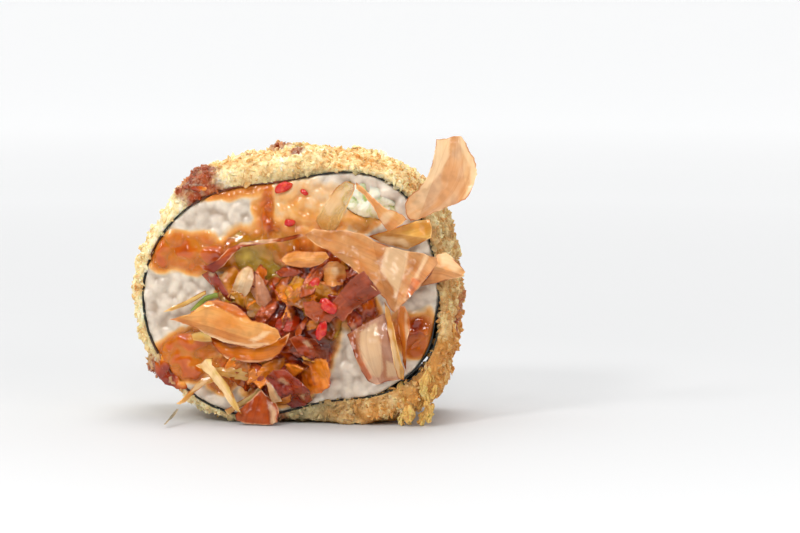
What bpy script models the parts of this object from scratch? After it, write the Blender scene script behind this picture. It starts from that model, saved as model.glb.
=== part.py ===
"""Tuna futomaki: one thick slice of a fried sushi roll with bonito flakes on its cut face.

The slice stands on its rolled side. +X is right across the shown cut face, -Y points out of
that face and +Z is up. The origin is on the flat spot under the crust, midway between the
two cut faces. Lengths below are in millimetres and become metres as each mesh is made.
"""
import math
import random
from dataclasses import dataclass

import bmesh
import bpy
import numpy as np
from mathutils import Matrix, Vector, noise
from mathutils.bvhtree import BVHTree

MM = 0.001
GAP = 0.3                    # kept between neighbouring pieces
MERGE = 0.01                 # points nearer than this become one
DEPTH = 26.0                 # from cut face to cut face
FACE = -DEPTH / 2            # y of the shown cut face
MIDDLE_Z = 28.5              # height of the roll's middle above its flat spot

# Crust
CRUST_THICK = 2.4
CRUST_TOP = (3.3, 108.0, 36.0)       # extra thickness, and the angles it is centred on and spans
CRUST_CORNER = (4.3, -55.0, 28.0)
CRUST_THIN = (-0.8, -126.0, 12.0)
CRUST_STEPS = 104
CRAG_HEIGHT = 1.3
CRUMB_SEED = 3
CRUMB_JUT = (-0.5, 0.7)       # how far single crumbs stand in or out of the crags
EDGE_ROUND = 1.1             # how far the crust draws in at the two cut faces
CRUST_FRAY = 2.0             # how far torn crumbs stand out of the cut face at the lower right
# Crust lumps: angle, y, radius, height
CRUST_LUMPS = ((128, -10.5, 4.5, 1.5), (99, 2.0, 3.5, 1.2), (91, -6.0, 2.5, 0.8),
               (-31, -9.0, 4.0, 1.0), (-150, -8.0, 4.5, 0.8), (12, 4.0, 4.0, 0.8))

# Nori
NORI_THICK = 0.7
LAP = (-38.0, -12.0)         # the sheet's two ends lie over each other between these angles
LAP_BLEND = 14.0
LAP_INSET = NORI_THICK + GAP

# Rice grains, half sizes
GRAIN = (2.9, 1.4, 1.25)
GRAIN_SPACING = (4.5, 3.4)
GRAIN_SUNK = 0.35
GRAIN_SEED = 21

# Flakes
FLAKE_THICK = 0.5
FLAKE_CELLS = (9, 3)
NARROW_CELLS = (7, 1)
SMALL_CELLS = (4, 2)
CRUMPLE_CELLS = (3, 2)


# Outlines in the plane of the cut face

def ripple(angle, count, lead):
    """A cosine with count crests round the roll, the first at lead degrees."""
    return math.cos(math.radians(count * (angle - lead)))


def bump(angle, shape, power=4):
    """A smooth rise of shape = (height, centre, half span) degrees, flat-topped at power 4."""
    height, centre, span = shape
    away = (angle - centre + 180.0) % 360.0 - 180.0
    return height * math.exp(-abs(away / span) ** power)


def smoothstep(value):
    value = min(max(value, 0.0), 1.0)
    return value * value * (3.0 - 2.0 * value)


def nori_radius(angle):
    """Outside of the nori: a wide, slightly squared loop."""
    return (30.1 + 4.0 * ripple(angle, 2, 10.4) + 1.2 * ripple(angle, 4, 55.5)
            + 0.5 * ripple(angle, 5, -29.0) + 0.3 * ripple(angle, 3, -49.6))


def lap_inset(angle):
    """How far the inner end of the sheet lies inside the outer end."""
    away = (angle - LAP[0] + 180.0) % 360.0 - 180.0
    length = LAP[1] - LAP[0]
    if away < 0.0:
        return LAP_INSET * smoothstep(1.0 + away / LAP_BLEND)
    return LAP_INSET * smoothstep(1.0 - (away - length) / LAP_BLEND)


def rice_radius(angle):
    return nori_radius(angle) - NORI_THICK - GAP - lap_inset(angle)


def crust_thickness(angle):
    return (CRUST_THICK + bump(angle, CRUST_TOP) + bump(angle, CRUST_CORNER)
            + bump(angle, CRUST_THIN, 2))


def polar(angle, radius):
    """(x, z) at an angle and a distance from the roll's middle."""
    turn = math.radians(angle)
    return radius * math.cos(turn), MIDDLE_Z + radius * math.sin(turn)


def spline(points, t):
    """Value at fraction t of the smooth line through points (Catmull-Rom)."""
    last = len(points) - 1
    place = min(max(t, 0.0) * last, last - 1e-6)
    i = int(place)
    u = place - i
    a, b, c, d = (np.array(points[min(max(k, 0), last)], float) for k in range(i - 1, i + 3))
    return 0.5 * (2 * b + (c - a) * u + (2 * a - 5 * b + 4 * c - d) * u * u
                  + (3 * b - a - 3 * c + d) * u ** 3)


# Fillings that run through the roll, as outlines

def grown(outline, distance):
    """An outline moved outward by distance, its corners kept sharp."""
    moved = []
    for i, (x, z) in enumerate(outline):
        before, after = outline[i - 1], outline[(i + 1) % len(outline)]
        first = Vector((z - before[1], before[0] - x)).normalized()
        second = Vector((after[1] - z, x - after[0])).normalized()
        shift = (first + second) * distance / max(1.0 + first.dot(second), 0.4)
        moved.append((x + shift.x, z + shift.y))
    return moved


def crescent():
    """Avocado: a curved band, thickest in its middle."""
    spine = ((-13.0, 41.5), (-9.5, 36.0), (-4.0, 31.0), (3.0, 26.5), (9.5, 20.5))
    half = (1.4, 3.2, 3.8, 3.3, 1.4)
    steps = 14
    near, far = [], []
    for step in range(steps + 1):
        t = step / steps
        x, z = spline(spine, t)
        run = spline(spine, min(t + 0.02, 1.0)) - spline(spine, max(t - 0.02, 0.0))
        run /= np.linalg.norm(run)
        wide = float(spline(half, t))
        near.append((x + run[1] * wide, z - run[0] * wide))
        far.append((x - run[1] * wide, z + run[0] * wide))
    return near + far[::-1]


def wedge():
    """Cucumber: a lens that hugs the nori at the upper right, its skin on the outer side."""
    start, end, steps = 35.0, 67.0, 13
    inset, high, tip = 1.2, 7.6, 1.4
    outer, inner = [], []
    for step in range(steps + 1):
        angle = start + (end - start) * step / steps
        radius = rice_radius(angle) - inset
        share = max(math.sin(math.pi * step / steps), 0.0) ** 0.7
        outer.append(polar(angle, radius))
        inner.append(polar(angle, radius - tip - (high - tip) * share))
    return outer + inner[::-1]


def block():
    """Cooked tuna: a soft-edged uneven block beside the avocado."""
    outline = []
    for turn in np.arange(26) * 360.0 / 26:
        radius = 6.2 + 0.7 * ripple(turn, 2, 20.0) + 0.5 * ripple(turn, 3, 50.0)
        outline.append((12.0 + 1.15 * radius * math.cos(math.radians(turn)),
                        33.6 + 0.95 * radius * math.sin(math.radians(turn))))
    return outline


@dataclass(frozen=True)
class Filling:
    name: str
    outline: object
    colour: tuple
    recess: float            # how far its ends stand back from the cut faces
    roughness: float


FILLINGS = (
    Filling("avocado_crescent", crescent, (0.42, 0.52, 0.13), 0.25, 0.45),
    Filling("cucumber_wedge", wedge, (0.55, 0.66, 0.30), 0.10, 0.35),
    Filling("tuna_block", block, (0.62, 0.36, 0.27), 0.45, 0.6),
)


# Flakes: thin shavings, each a strip along a smooth spine

@dataclass(frozen=True)
class Flake:
    """spine is (x, z, lift) along the middle, lift being its distance out of the cut face.

    roll turns the strip about its spine from one end to the other, in degrees. cup bows it
    across and wave, (height, count), ripples it along. tear makes its two edges ragged.
    """
    name: str
    spine: tuple
    widths: tuple
    roll: tuple = (0, 0)
    cup: float = 0.5
    wave: tuple = (0.0, 1.0)
    tear: float = 0.12
    cells: tuple = FLAKE_CELLS


LARGE_FLAKES = (
    Flake("bonito_tall_curl", ((25.5, 47.0, 1.8), (31.5, 50.5, 5.4), (35.4, 56.3, 8.0),
                               (36.3, 63.3, 9.3)), (3.5, 9.6, 10.6, 9.0), (10, -10), -2.0, (0.3, 1.5)),
    Flake("bonito_arch_left", ((7.0, 42.5, 5.0), (8.8, 47.0, 5.8), (11.2, 50.8, 6.8),
                               (13.5, 52.5, 7.4)), (6.0, 5.8, 4.0, 2.2), (5, 0), 0.6),
    Flake("bonito_arch_right", ((15.6, 52.4, 7.2), (18.0, 50.4, 6.8), (20.8, 47.5, 5.8),
                                (23.5, 45.0, 4.4)), (2.2, 2.8, 4.2, 6.0), (0, -5), 0.6),
    Flake("bonito_fan", ((3.0, 43.0, 1.8), (12.0, 41.0, 4.8), (21.0, 37.5, 7.4),
                         (28.0, 32.0, 7.0)), (1.6, 5.4, 10.0, 14.5), (0, 0), 0.5, (0.8, 2.2)),
    Flake("bonito_tab", ((17.0, 42.0, 1.4), (23.0, 41.5, 2.2), (30.5, 43.5, 2.8)),
          (1.4, 3.0, 4.0), (0, 0), 0.4, cells=(7, 2)),
    Flake("bonito_fin", ((26.5, 35.0, 1.8), (32.5, 35.5, 3.2), (38.0, 34.0, 3.6)),
          (4.4, 5.2, 1.4), (0, 20), 0.6, cells=(7, 2)),
    Flake("bonito_scoop", ((17.5, 24.0, 2.6), (17.0, 19.5, 4.2), (18.0, 14.5, 4.2),
                           (19.0, 10.0, 1.4)), (5.0, 7.0, 6.5, 3.0), (10, 0), -1.6),
    Flake("bonito_ribbon", ((22.3, 27.5, 5.0), (22.9, 22.0, 5.6), (23.4, 16.5, 5.0),
                            (23.9, 11.0, 2.4)), (1.6, 1.8, 3.0, 4.4), (30, 0), 0.4, (0.3, 1.0),
          cells=NARROW_CELLS),
    Flake("bonito_spike", ((25.4, 28.0, 3.6), (26.1, 21.5, 3.4), (26.2, 17.0, 2.6),
                           (26.0, 12.0, 1.4)), (1.8, 1.8, 1.6, 1.2), (50, 30), 0.2, cells=NARROW_CELLS),
    Flake("bonito_leaf", ((-27.0, 23.5, 2.4), (-18.5, 24.0, 3.4), (-11.0, 22.0, 4.4),
                          (0.0, 20.0, 5.2)), (1.4, 6.0, 7.0, 2.0), (0, -10), 0.9, (0.4, 1.5)),
    Flake("bonito_moon", ((-17.5, 17.2, 1.6), (-11.0, 15.3, 2.8), (-5.0, 15.6, 3.8),
                          (0.0, 18.0, 4.4)), (1.6, 3.6, 4.0, 1.4), (0, 0), 0.6, cells=(7, 2)),
    Flake("bonito_sliver", ((-29.0, 24.0, 1.2), (-23.8, 26.4, 2.2), (-18.4, 28.9, 3.0)),
          (1.2, 1.6, 1.6), (0, 0), 0.2, cells=NARROW_CELLS),
    Flake("bonito_blade", ((-20.0, 14.5, 2.4), (-17.0, 11.5, 4.2), (-13.5, 7.5, 5.2),
                           (-11.2, 2.8, 5.6)), (3.0, 3.6, 2.6, 1.2), (0, 30), 0.5, cells=(7, 2)),
    Flake("bonito_strip", ((-25.0, 4.5, 2.3), (-22.0, 7.5, 2.0), (-18.2, 9.3, 1.8),
                           (-15.6, 10.5, 1.3)), (1.3, 1.5, 1.8, 1.5), (0, 0), 0.2, cells=NARROW_CELLS),
    Flake("bonito_hair", ((-25.2, 3.2, 3.3), (-25.9, 2.0, 6.2), (-26.7, 0.9, 10.2)),
          (1.2, 1.2, 1.0), (40, 40), 0.0, cells=NARROW_CELLS),
    Flake("bonito_foot", ((-6.5, 7.6, 1.6), (-7.0, 4.6, 2.8), (-7.8, 1.3, 3.6)),
          (1.4, 5.6, 9.0), (0, 0), 0.8),
    Flake("bonito_twig", ((-15.4, 1.8, 1.4), (-12.8, 4.0, 1.8), (-10.3, 5.8, 1.5)),
          (1.2, 1.8, 1.8), (0, 0), 0.2, cells=NARROW_CELLS),
    Flake("bonito_brow", ((-19.5, 35.5, 2.8), (-13.0, 38.5, 3.0), (-6.0, 39.5, 2.8),
                          (1.4, 42.2, 2.4)), (1.2, 2.6, 4.0, 1.4), (10, 10), 0.5, cells=(8, 2)),
)

HEAP_FLAKES = (
    Flake("cap", ((-2.0, 34.0, 2.4), (3.5, 35.6, 4.2), (9.5, 36.8, 3.9)), (2.0, 3.4, 1.6)),
    Flake("shard", ((19.0, 30.3, 5.2), (14.0, 28.0, 4.5), (9.0, 22.6, 2.0)), (2.0, 5.0, 2.0)),
    Flake("pane", ((3.6, 16.4, 1.4), (6.0, 11.0, 2.4), (7.5, 7.2, 1.6)), (4.0, 5.0, 4.0), (0, 0), 0.4),
    Flake("dart", ((-19.0, 30.4, 1.6), (-15.5, 31.2, 3.3), (-11.0, 27.4, 1.2)), (1.4, 3.0, 1.4)),
    Flake("pale", ((-7.2, 34.0, 2.8), (-8.5, 30.5, 4.0), (-10.6, 27.6, 1.2)), (2.0, 5.0, 2.0), (0, 0), 0.8),
    Flake("low", ((-6.5, 11.5, 1.8), (-1.5, 9.5, 3.2), (4.0, 6.4, 1.8)), (2.0, 4.6, 2.6)),
    Flake("under", ((-13.6, 12.7, 1.4), (-9.5, 11.5, 2.0), (-5.5, 9.4, 1.4)), (2.0, 4.0, 2.0)),
    Flake("curl", ((6.5, 34.2, 1.8), (10.4, 33.6, 4.2), (10.6, 30.6, 4.4), (8.0, 30.0, 2.0)),
          (2.0, 2.6, 2.6, 2.0), (40, 60), 0.2),
)

# Sauced heap: lobes as x, z, half width, half height, how far they stand out, icosphere level
HEAP_LOBES = ((2.0, 23.0, 9.5, 14.0, 2.6, 3), (-8.0, 12.6, 8.0, 4.6, 1.5, 2),
              (-10.5, 30.0, 5.6, 4.6, 1.8, 2), (10.0, 31.0, 8.0, 5.0, 2.2, 2))
HEAP_FLAKE_COUNT = 10
HEAP_SEED = 15

# Chilli pieces: x, z, half length, turn in degrees
HEAP_CHILLI = ((5.3, 30.7, 1.5, 40), (7.0, 26.3, 1.7, 80), (6.4, 20.9, 1.9, 55))
RICE_CHILLI = ((-2.0, 50.8, 1.8, 25), (-0.6, 44.3, 1.1, 0))

# Thick sauce on the rice: x, z, half width, half height, how far it stands out
SAUCE_PADS = ((-22.8, 37.0, 6.8, 3.6, 1.1), (-18.0, 36.6, 3.4, 2.8, 1.9),
              (-22.6, 14.8, 4.3, 5.8, 1.1), (25.9, 21.6, 3.9, 4.6, 1.0),
              (-12.6, 48.7, 4.4, 1.5, 0.8), (-2.4, 45.4, 3.2, 5.8, 1.2))

SHRED = Flake("green_shred", ((-24.0, 25.4, 0.9), (-20.8, 27.0, 1.1), (-17.4, 28.1, 0.9)),
              (1.2, 1.7, 1.2), (0, 0), 0.1, (0.0, 1.0), 0.08, SMALL_CELLS)


# Scene helpers

def clear_scene():
    for obj in list(bpy.data.objects):
        bpy.data.objects.remove(obj, do_unlink=True)


def new_collection(name):
    group = bpy.data.collections.new(name)
    bpy.context.scene.collection.children.link(group)
    return group


def new_material(name, colour, roughness):
    material = bpy.data.materials.new(name)
    material.use_nodes = True
    shader = material.node_tree.nodes["Principled BSDF"]
    shader.inputs["Base Color"].default_value = (*colour, 1.0)
    shader.inputs["Roughness"].default_value = roughness
    shader.inputs["Metallic"].default_value = 0.0
    return material


def mesh_object(name, bm, group):
    """Turn a bmesh in millimetres into an object in metres."""
    bmesh.ops.scale(bm, vec=(MM, MM, MM), verts=bm.verts)
    mesh = bpy.data.meshes.new(name)
    bm.to_mesh(mesh)
    bm.free()
    obj = bpy.data.objects.new(name, mesh)
    group.objects.link(obj)
    return obj


def guide(obj):
    obj.hide_render = True
    obj.display_type = "WIRE"


def bake(obj):
    """Apply the modifiers."""
    depsgraph = bpy.context.evaluated_depsgraph_get()
    mesh = bpy.data.meshes.new_from_object(obj.evaluated_get(depsgraph))
    obj.modifiers.clear()
    obj.data = mesh


def finish(obj, colour, roughness, sharp=40.0):
    obj.data.materials.clear()
    obj.data.materials.append(new_material(obj.name, colour, roughness))
    obj.data.shade_smooth()
    obj.data.set_sharp_from_angle(angle=math.radians(sharp))


def combine(obj, operation, operand):
    """Boolean with one object or a whole collection, applied at once.

    The solver is MANIFOLD because EXACT empties the rice as its second channel is cut.
    """
    tool = obj.modifiers.new(operation.title(), "BOOLEAN")
    tool.operation = operation
    tool.solver = "MANIFOLD"
    if isinstance(operand, bpy.types.Collection):
        tool.operand_type = "COLLECTION"
        tool.collection = operand
    else:
        tool.object = operand
    bake(obj)


def remove_group(group):
    for obj in list(group.objects):
        bpy.data.objects.remove(obj, do_unlink=True)
    bpy.data.collections.remove(group)


def keep_largest(obj):
    """Triangulate, close hairline slivers and drop the loose scraps."""
    bm = bmesh.new()
    bm.from_mesh(obj.data)
    bmesh.ops.triangulate(bm, faces=bm.faces, quad_method="FIXED", ngon_method="EAR_CLIP")
    bmesh.ops.remove_doubles(bm, verts=bm.verts, dist=MERGE * MM)
    bmesh.ops.dissolve_degenerate(bm, edges=bm.edges, dist=MERGE * MM)
    left, shells = set(bm.verts), []
    while left:
        shell, edge = set(), [left.pop()]
        while edge:
            vert = edge.pop()
            shell.add(vert)
            for line in vert.link_edges:
                other = line.other_vert(vert)
                if other in left:
                    left.discard(other)
                    edge.append(other)
        shells.append(shell)
    shells.sort(key=len)
    for shell in shells[:-1]:
        bmesh.ops.delete(bm, geom=list(shell), context="VERTS")
    bm.to_mesh(obj.data)
    bm.free()


def prism(name, outline, depth, group, edge=0.0):
    """A flat outline in the plane of the cut face, extruded to depth."""
    curve = bpy.data.curves.new(name, "CURVE")
    curve.dimensions = "2D"
    curve.fill_mode = "BOTH"
    curve.extrude = depth / 2 * MM
    line = curve.splines.new("POLY")
    line.points.add(len(outline) - 1)
    for point, (x, z) in zip(line.points, outline):
        point.co = (x * MM, z * MM, 0.0, 1.0)
    line.use_cyclic_u = True
    source = bpy.data.objects.new(name + "_outline", curve)
    source.rotation_euler = (math.pi / 2, 0.0, 0.0)
    group.objects.link(source)
    bpy.context.view_layer.update()
    depsgraph = bpy.context.evaluated_depsgraph_get()
    mesh = bpy.data.meshes.new_from_object(source.evaluated_get(depsgraph))
    mesh.transform(source.matrix_world)
    bpy.data.objects.remove(source, do_unlink=True)
    bm = bmesh.new()
    bm.from_mesh(mesh)
    bmesh.ops.remove_doubles(bm, verts=bm.verts, dist=MERGE * MM)
    bmesh.ops.dissolve_limit(bm, angle_limit=math.radians(1.0), verts=bm.verts, edges=bm.edges)
    bmesh.ops.recalc_face_normals(bm, faces=bm.faces)
    bm.to_mesh(mesh)
    bm.free()
    obj = bpy.data.objects.new(name, mesh)
    group.objects.link(obj)
    if edge:
        bevel = obj.modifiers.new("Edge", "BEVEL")
        bevel.width = edge * MM
        bevel.segments = 1
        bevel.angle_limit = math.radians(60.0)
        bake(obj)
    return obj


# Crust and nori

def crust_section():
    """The crust's section as (share of the thickness, y), from outside front round to the back."""
    rows = [(1.0, y) for y in (1.6, -1.6, -4.8, -8.0, -11.0)]
    front = [(0.80, -12.7), (0.40, -13.0), (0.0, -12.8)]
    back = [(share, -y) for share, y in reversed(front)]
    return rows + front + [(0.0, 0.0)] + back + [(1.0, y) for y in (11.0, 8.0, 4.8)]


def crust_relief(angle, y):
    """Crags of the fried crumbs, with the named lumps."""
    x, z = polar(angle, nori_radius(angle))
    rough = noise.noise(Vector((x, y, z)) * 0.34) + 0.6 * noise.noise(Vector((z, x, y)) * 0.17)
    height = CRAG_HEIGHT * rough
    for lump_angle, lump_y, radius, lump in CRUST_LUMPS:
        turn = (angle - lump_angle + 180.0) % 360.0 - 180.0
        away = math.hypot(math.radians(turn) * 32.0, y - lump_y) / radius
        height += lump * math.exp(-away * away)
    return height


def crust_point(angle, share, y, jut):
    inner = nori_radius(angle) + GAP
    if share == 0.0:
        x, z = polar(angle, inner)
        return x, z, y
    thick = crust_thickness(angle) + crust_relief(angle, y) + jut - GAP
    thick -= EDGE_ROUND * smoothstep((abs(y) - 8.0) / 5.0)
    x, z = polar(angle, inner + share * max(thick, 1.0))
    if abs(y) > 12.0:
        sway = 0.5 * noise.noise(Vector((x, z, y)) * 0.5)
        fray = bump(angle, (CRUST_FRAY, -48.0, 20.0)) if y < 0 else 0.0
        y += sway - fray * (0.6 + 0.8 * noise.noise(Vector((z, x, 7.0)) * 0.35))
    return x, max(z, 0.0), y


def make_crust(group):
    """A ring whose tube is reshaped into the crust's section, pressed flat underneath."""
    section = crust_section()
    bpy.ops.mesh.primitive_torus_add(major_segments=CRUST_STEPS, minor_segments=len(section),
                                     major_radius=3.0, minor_radius=1.0)
    obj = bpy.context.object
    for owner in list(obj.users_collection):
        owner.objects.unlink(obj)
    group.objects.link(obj)
    obj.name = obj.data.name = "panko_crust"
    draw = random.Random(CRUMB_SEED)
    for vert in obj.data.vertices:
        around = math.atan2(vert.co.y, vert.co.x)
        tube = math.atan2(vert.co.z, math.hypot(vert.co.x, vert.co.y) - 3.0)
        share, y = section[round(tube / (2 * math.pi) * len(section)) % len(section)]
        x, z, y = crust_point(math.degrees(around), share, y, draw.uniform(*CRUMB_JUT))
        vert.co = Vector((x, y, z)) * MM
    finish(obj, (0.72, 0.47, 0.19), 0.75, 180.0)
    return obj


def make_nori(group):
    """One sheet rolled round the rice, its ends lapping over each other."""
    start, end = LAP[0], LAP[1] + 360.0 - 1.5
    steps = 76
    curve = bpy.data.curves.new("nori_line", "CURVE")
    curve.dimensions = "3D"
    curve.extrude = (DEPTH / 2 + 0.1) * MM
    line = curve.splines.new("POLY")
    line.points.add(steps)
    for i, point in enumerate(line.points):
        angle = start + (end - start) * i / steps
        inset = lap_inset(angle) if angle < 180.0 else 0.0
        x, z = polar(angle, nori_radius(angle) - NORI_THICK / 2 - inset)
        point.co = (x * MM, z * MM, 0.0, 1.0)
    source = bpy.data.objects.new("nori_line", curve)
    source.rotation_euler = (math.pi / 2, 0.0, 0.0)
    group.objects.link(source)
    bpy.context.view_layer.update()
    depsgraph = bpy.context.evaluated_depsgraph_get()
    mesh = bpy.data.meshes.new_from_object(source.evaluated_get(depsgraph))
    mesh.transform(source.matrix_world)
    bpy.data.objects.remove(source, do_unlink=True)
    obj = bpy.data.objects.new("nori_sheet", mesh)
    group.objects.link(obj)
    wall = obj.modifiers.new("Wall", "SOLIDIFY")
    wall.thickness = NORI_THICK * MM
    wall.offset = 0.0
    wall.use_even_offset = True
    bake(obj)
    finish(obj, (0.012, 0.016, 0.010), 0.5, 60.0)
    return obj


# Flakes

def flake_point(flake, along, across):
    """Point of a flake's middle surface, along 0 to 1 and across -1 to 1."""
    def spine(t):
        x, z, lift = spline(flake.spine, t)
        return Vector((x, FACE - lift, z))
    run = (spine(min(along + 0.01, 1.0)) - spine(max(along - 0.01, 0.0))).normalized()
    side = run.cross(Vector((0.0, -1.0, 0.0))).normalized()
    roll = math.radians(flake.roll[0] + (flake.roll[1] - flake.roll[0]) * along)
    side = Matrix.Rotation(roll, 3, run) @ side
    out = side.cross(run)
    seed = sum(map(ord, flake.name))
    ragged = 1.0 + flake.tear * 2.0 * noise.noise(Vector((along * 4.5, math.copysign(2.7, across), seed)))
    width = float(spline(flake.widths, along))
    bow = flake.cup * width / max(flake.widths) * (1.0 - across * across)
    bow += flake.wave[0] * math.sin(2 * math.pi * flake.wave[1] * along)
    return spine(along) + side * (across * ragged * width / 2) + out * bow


def flake_object(flake, group, cells=None):
    bm = bmesh.new()
    along, across = cells or flake.cells
    bmesh.ops.create_grid(bm, x_segments=along, y_segments=across, size=0.5)
    for vert in bm.verts:
        vert.co = flake_point(flake, vert.co.x + 0.5, vert.co.y * 2.0)
    bmesh.ops.triangulate(bm, faces=bm.faces)
    obj = mesh_object(flake.name, bm, group)
    wall = obj.modifiers.new("Wall", "SOLIDIFY")
    wall.thickness = FLAKE_THICK * MM
    wall.offset = 0.0
    bake(obj)
    return obj


def ball(bm, centre, half, turn=None, level=1, uneven=0.0):
    """An icosphere stretched to half sizes, made uneven by a share of them, turned and placed."""
    made = bmesh.ops.create_icosphere(bm, subdivisions=level, radius=1.0)["verts"]
    for vert in made:
        vert.co *= 1.0 + uneven * noise.noise(vert.co * 1.7 + Vector(centre))
    matrix = Matrix.Translation(centre) @ (turn or Matrix()) @ Matrix.Diagonal((*half, 1.0))
    bmesh.ops.transform(bm, matrix=matrix, verts=made)


def chilli(name, x, z, y, half, turn, group):
    bm = bmesh.new()
    ball(bm, (x, y, z), (half, 0.8, half * 0.6), Matrix.Rotation(math.radians(-turn), 4, "Y"))
    return mesh_object(name, bm, group)


def tree_of(obj):
    bm = bmesh.new()
    bm.from_mesh(obj.data)
    tree = BVHTree.FromBMesh(bm)
    bm.free()
    return tree


def clear_of(trees, points, distance):
    """Whether every point, in mm, is at least distance from the meshes."""
    for point in points:
        for tree in trees:
            if tree.find_nearest(Vector(point) * MM, distance * MM)[0] is not None:
                return False
    return True


def lobe_lift(x, z):
    """How far the bare heap stands out of the cut face at (x, z)."""
    best = 0.0
    for cx, cz, rx, rz, out, _ in HEAP_LOBES:
        inside = 1.0 - ((x - cx) / rx) ** 2 - ((z - cz) / rz) ** 2
        if inside > 0.0:
            best = max(best, out * math.sqrt(inside))
    return best


def make_heap(group, large):
    """Sauced small flakes and chilli fused on a low lumpy core against the cut face."""
    draw = random.Random(HEAP_SEED)
    extras = new_collection("heap_pieces")
    core = None
    for x, z, wide, high, out, level in HEAP_LOBES:
        bm = bmesh.new()
        ball(bm, (x, FACE, z), (wide, out, high), None, level, 0.2)
        lobe = mesh_object("topping_heap" if core is None else "lobe", bm,
                           group if core is None else extras)
        core = core or lobe
    for flake in HEAP_FLAKES:
        flake_object(flake, extras, SMALL_CELLS)
    trees = [tree_of(obj) for obj in large]
    made = 0
    for _ in range(HEAP_FLAKE_COUNT * 12):
        lobe = HEAP_LOBES[0] if draw.random() < 0.75 else draw.choice(HEAP_LOBES[1:])
        turn, reach = draw.uniform(0, 2 * math.pi), 0.85 * math.sqrt(draw.random())
        x = lobe[0] + lobe[2] * reach * math.cos(turn)
        z = lobe[1] + lobe[3] * reach * math.sin(turn)
        lift = lobe_lift(x, z)
        heading, half = draw.uniform(0, 2 * math.pi), draw.uniform(2.2, 3.8)
        ends = [(x + k * half * math.cos(heading), z + k * half * math.sin(heading)) for k in (-1, 1)]
        rise = (draw.uniform(-0.6, 0.2), draw.uniform(0.5, 1.3), draw.uniform(-0.4, 1.4))
        spine = tuple((px, pz, max(base + up, 0.8)) for (px, pz), base, up in
                      zip((ends[0], (x, z), ends[1]), (lift, lift, lift), rise))
        if made < HEAP_FLAKE_COUNT and clear_of(
                trees, [(px, FACE - up, pz) for px, pz, up in spine], 2.0):
            wide = draw.uniform(2.4, 4.0)
            flake_object(Flake(f"crumple_{made}", spine, (wide * 0.6, wide, wide * 0.5),
                               (draw.uniform(-50, 50), draw.uniform(-50, 50)), 0.4), extras, CRUMPLE_CELLS)
            made += 1
    for i, (x, z, half, turn) in enumerate(HEAP_CHILLI):
        chilli(f"heap_chilli_{i}", x, z, FACE - lobe_lift(x, z) - 0.3, half, turn, extras)
    combine(core, "UNION", extras)
    bm = bmesh.new()
    bmesh.ops.create_cube(bm, size=1.0)
    bmesh.ops.transform(bm, matrix=Matrix.Translation((0, FACE - GAP + 30, 30)) @
                        Matrix.Diagonal((90, 60, 90, 1)), verts=bm.verts)
    roll = mesh_object("roll_space", bm, extras)
    guide(roll)
    combine(core, "DIFFERENCE", roll)
    remove_group(extras)
    keep_largest(core)
    finish(core, (0.42, 0.13, 0.04), 0.3)
    return core


# Rice

def inside_outline(x, z, outline, margin):
    """Whether (x, z) is inside an outline or within margin of it."""
    inside = False
    for (x1, z1), (x2, z2) in zip(outline, outline[1:] + outline[:1]):
        if (z1 > z) != (z2 > z) and x < (x2 - x1) * (z - z1) / (z2 - z1) + x1:
            inside = not inside
        run = Vector((x2 - x1, z2 - z1))
        t = min(max((Vector((x - x1, z - z1)).dot(run)) / max(run.length_squared, 1e-9), 0.0), 1.0)
        if math.hypot(x - x1 - run.x * t, z - z1 - run.y * t) < margin:
            return True
    return inside


def grain_fits(ends, y, outlines, trees):
    """A grain stays in the rice, off the fillings and clear of what lies on the face."""
    for x, z in ends:
        angle = math.degrees(math.atan2(z - MIDDLE_Z, x))
        if math.hypot(x, z - MIDDLE_Z) > rice_radius(angle) - GRAIN[1] - 0.3:
            return False
        if any(inside_outline(x, z, outline, GRAIN[1] + GAP) for outline in outlines):
            return False
    return clear_of(trees, [(x, y, z) for x, z in ends], GRAIN[1] + 0.45)


def add_grains(side, draw, outlines, trees, group):
    """Grains lying in one cut face; side is -1 for the shown face and 1 for the other."""
    y = side * (DEPTH / 2 - GRAIN_SUNK)
    step_x, step_z = GRAIN_SPACING
    row, z = 0, 1.0
    while z < 58.0:
        x = -35.0 + (row % 2) * step_x / 2
        while x < 35.0:
            cx, cz = x + draw.uniform(-0.9, 0.9), z + draw.uniform(-0.7, 0.7)
            heading, tilt = draw.uniform(0, math.pi), draw.uniform(-0.22, 0.22)
            size = draw.uniform(0.85, 1.08)
            reach = (GRAIN[0] - GRAIN[1]) * size
            ends = [(cx + k * reach * math.cos(heading), cz + k * reach * math.sin(heading))
                    for k in (-1, 0, 1)]
            if grain_fits(ends, y, outlines, trees):
                bm = bmesh.new()
                turn = Matrix.Rotation(-heading, 4, "Y") @ Matrix.Rotation(tilt, 4, "Z")
                ball(bm, (cx, y + draw.uniform(-0.15, 0.15), cz), [half * size for half in GRAIN], turn)
                mesh_object("grain", bm, group)
            x += step_x
        z += step_z
        row += 1


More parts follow.
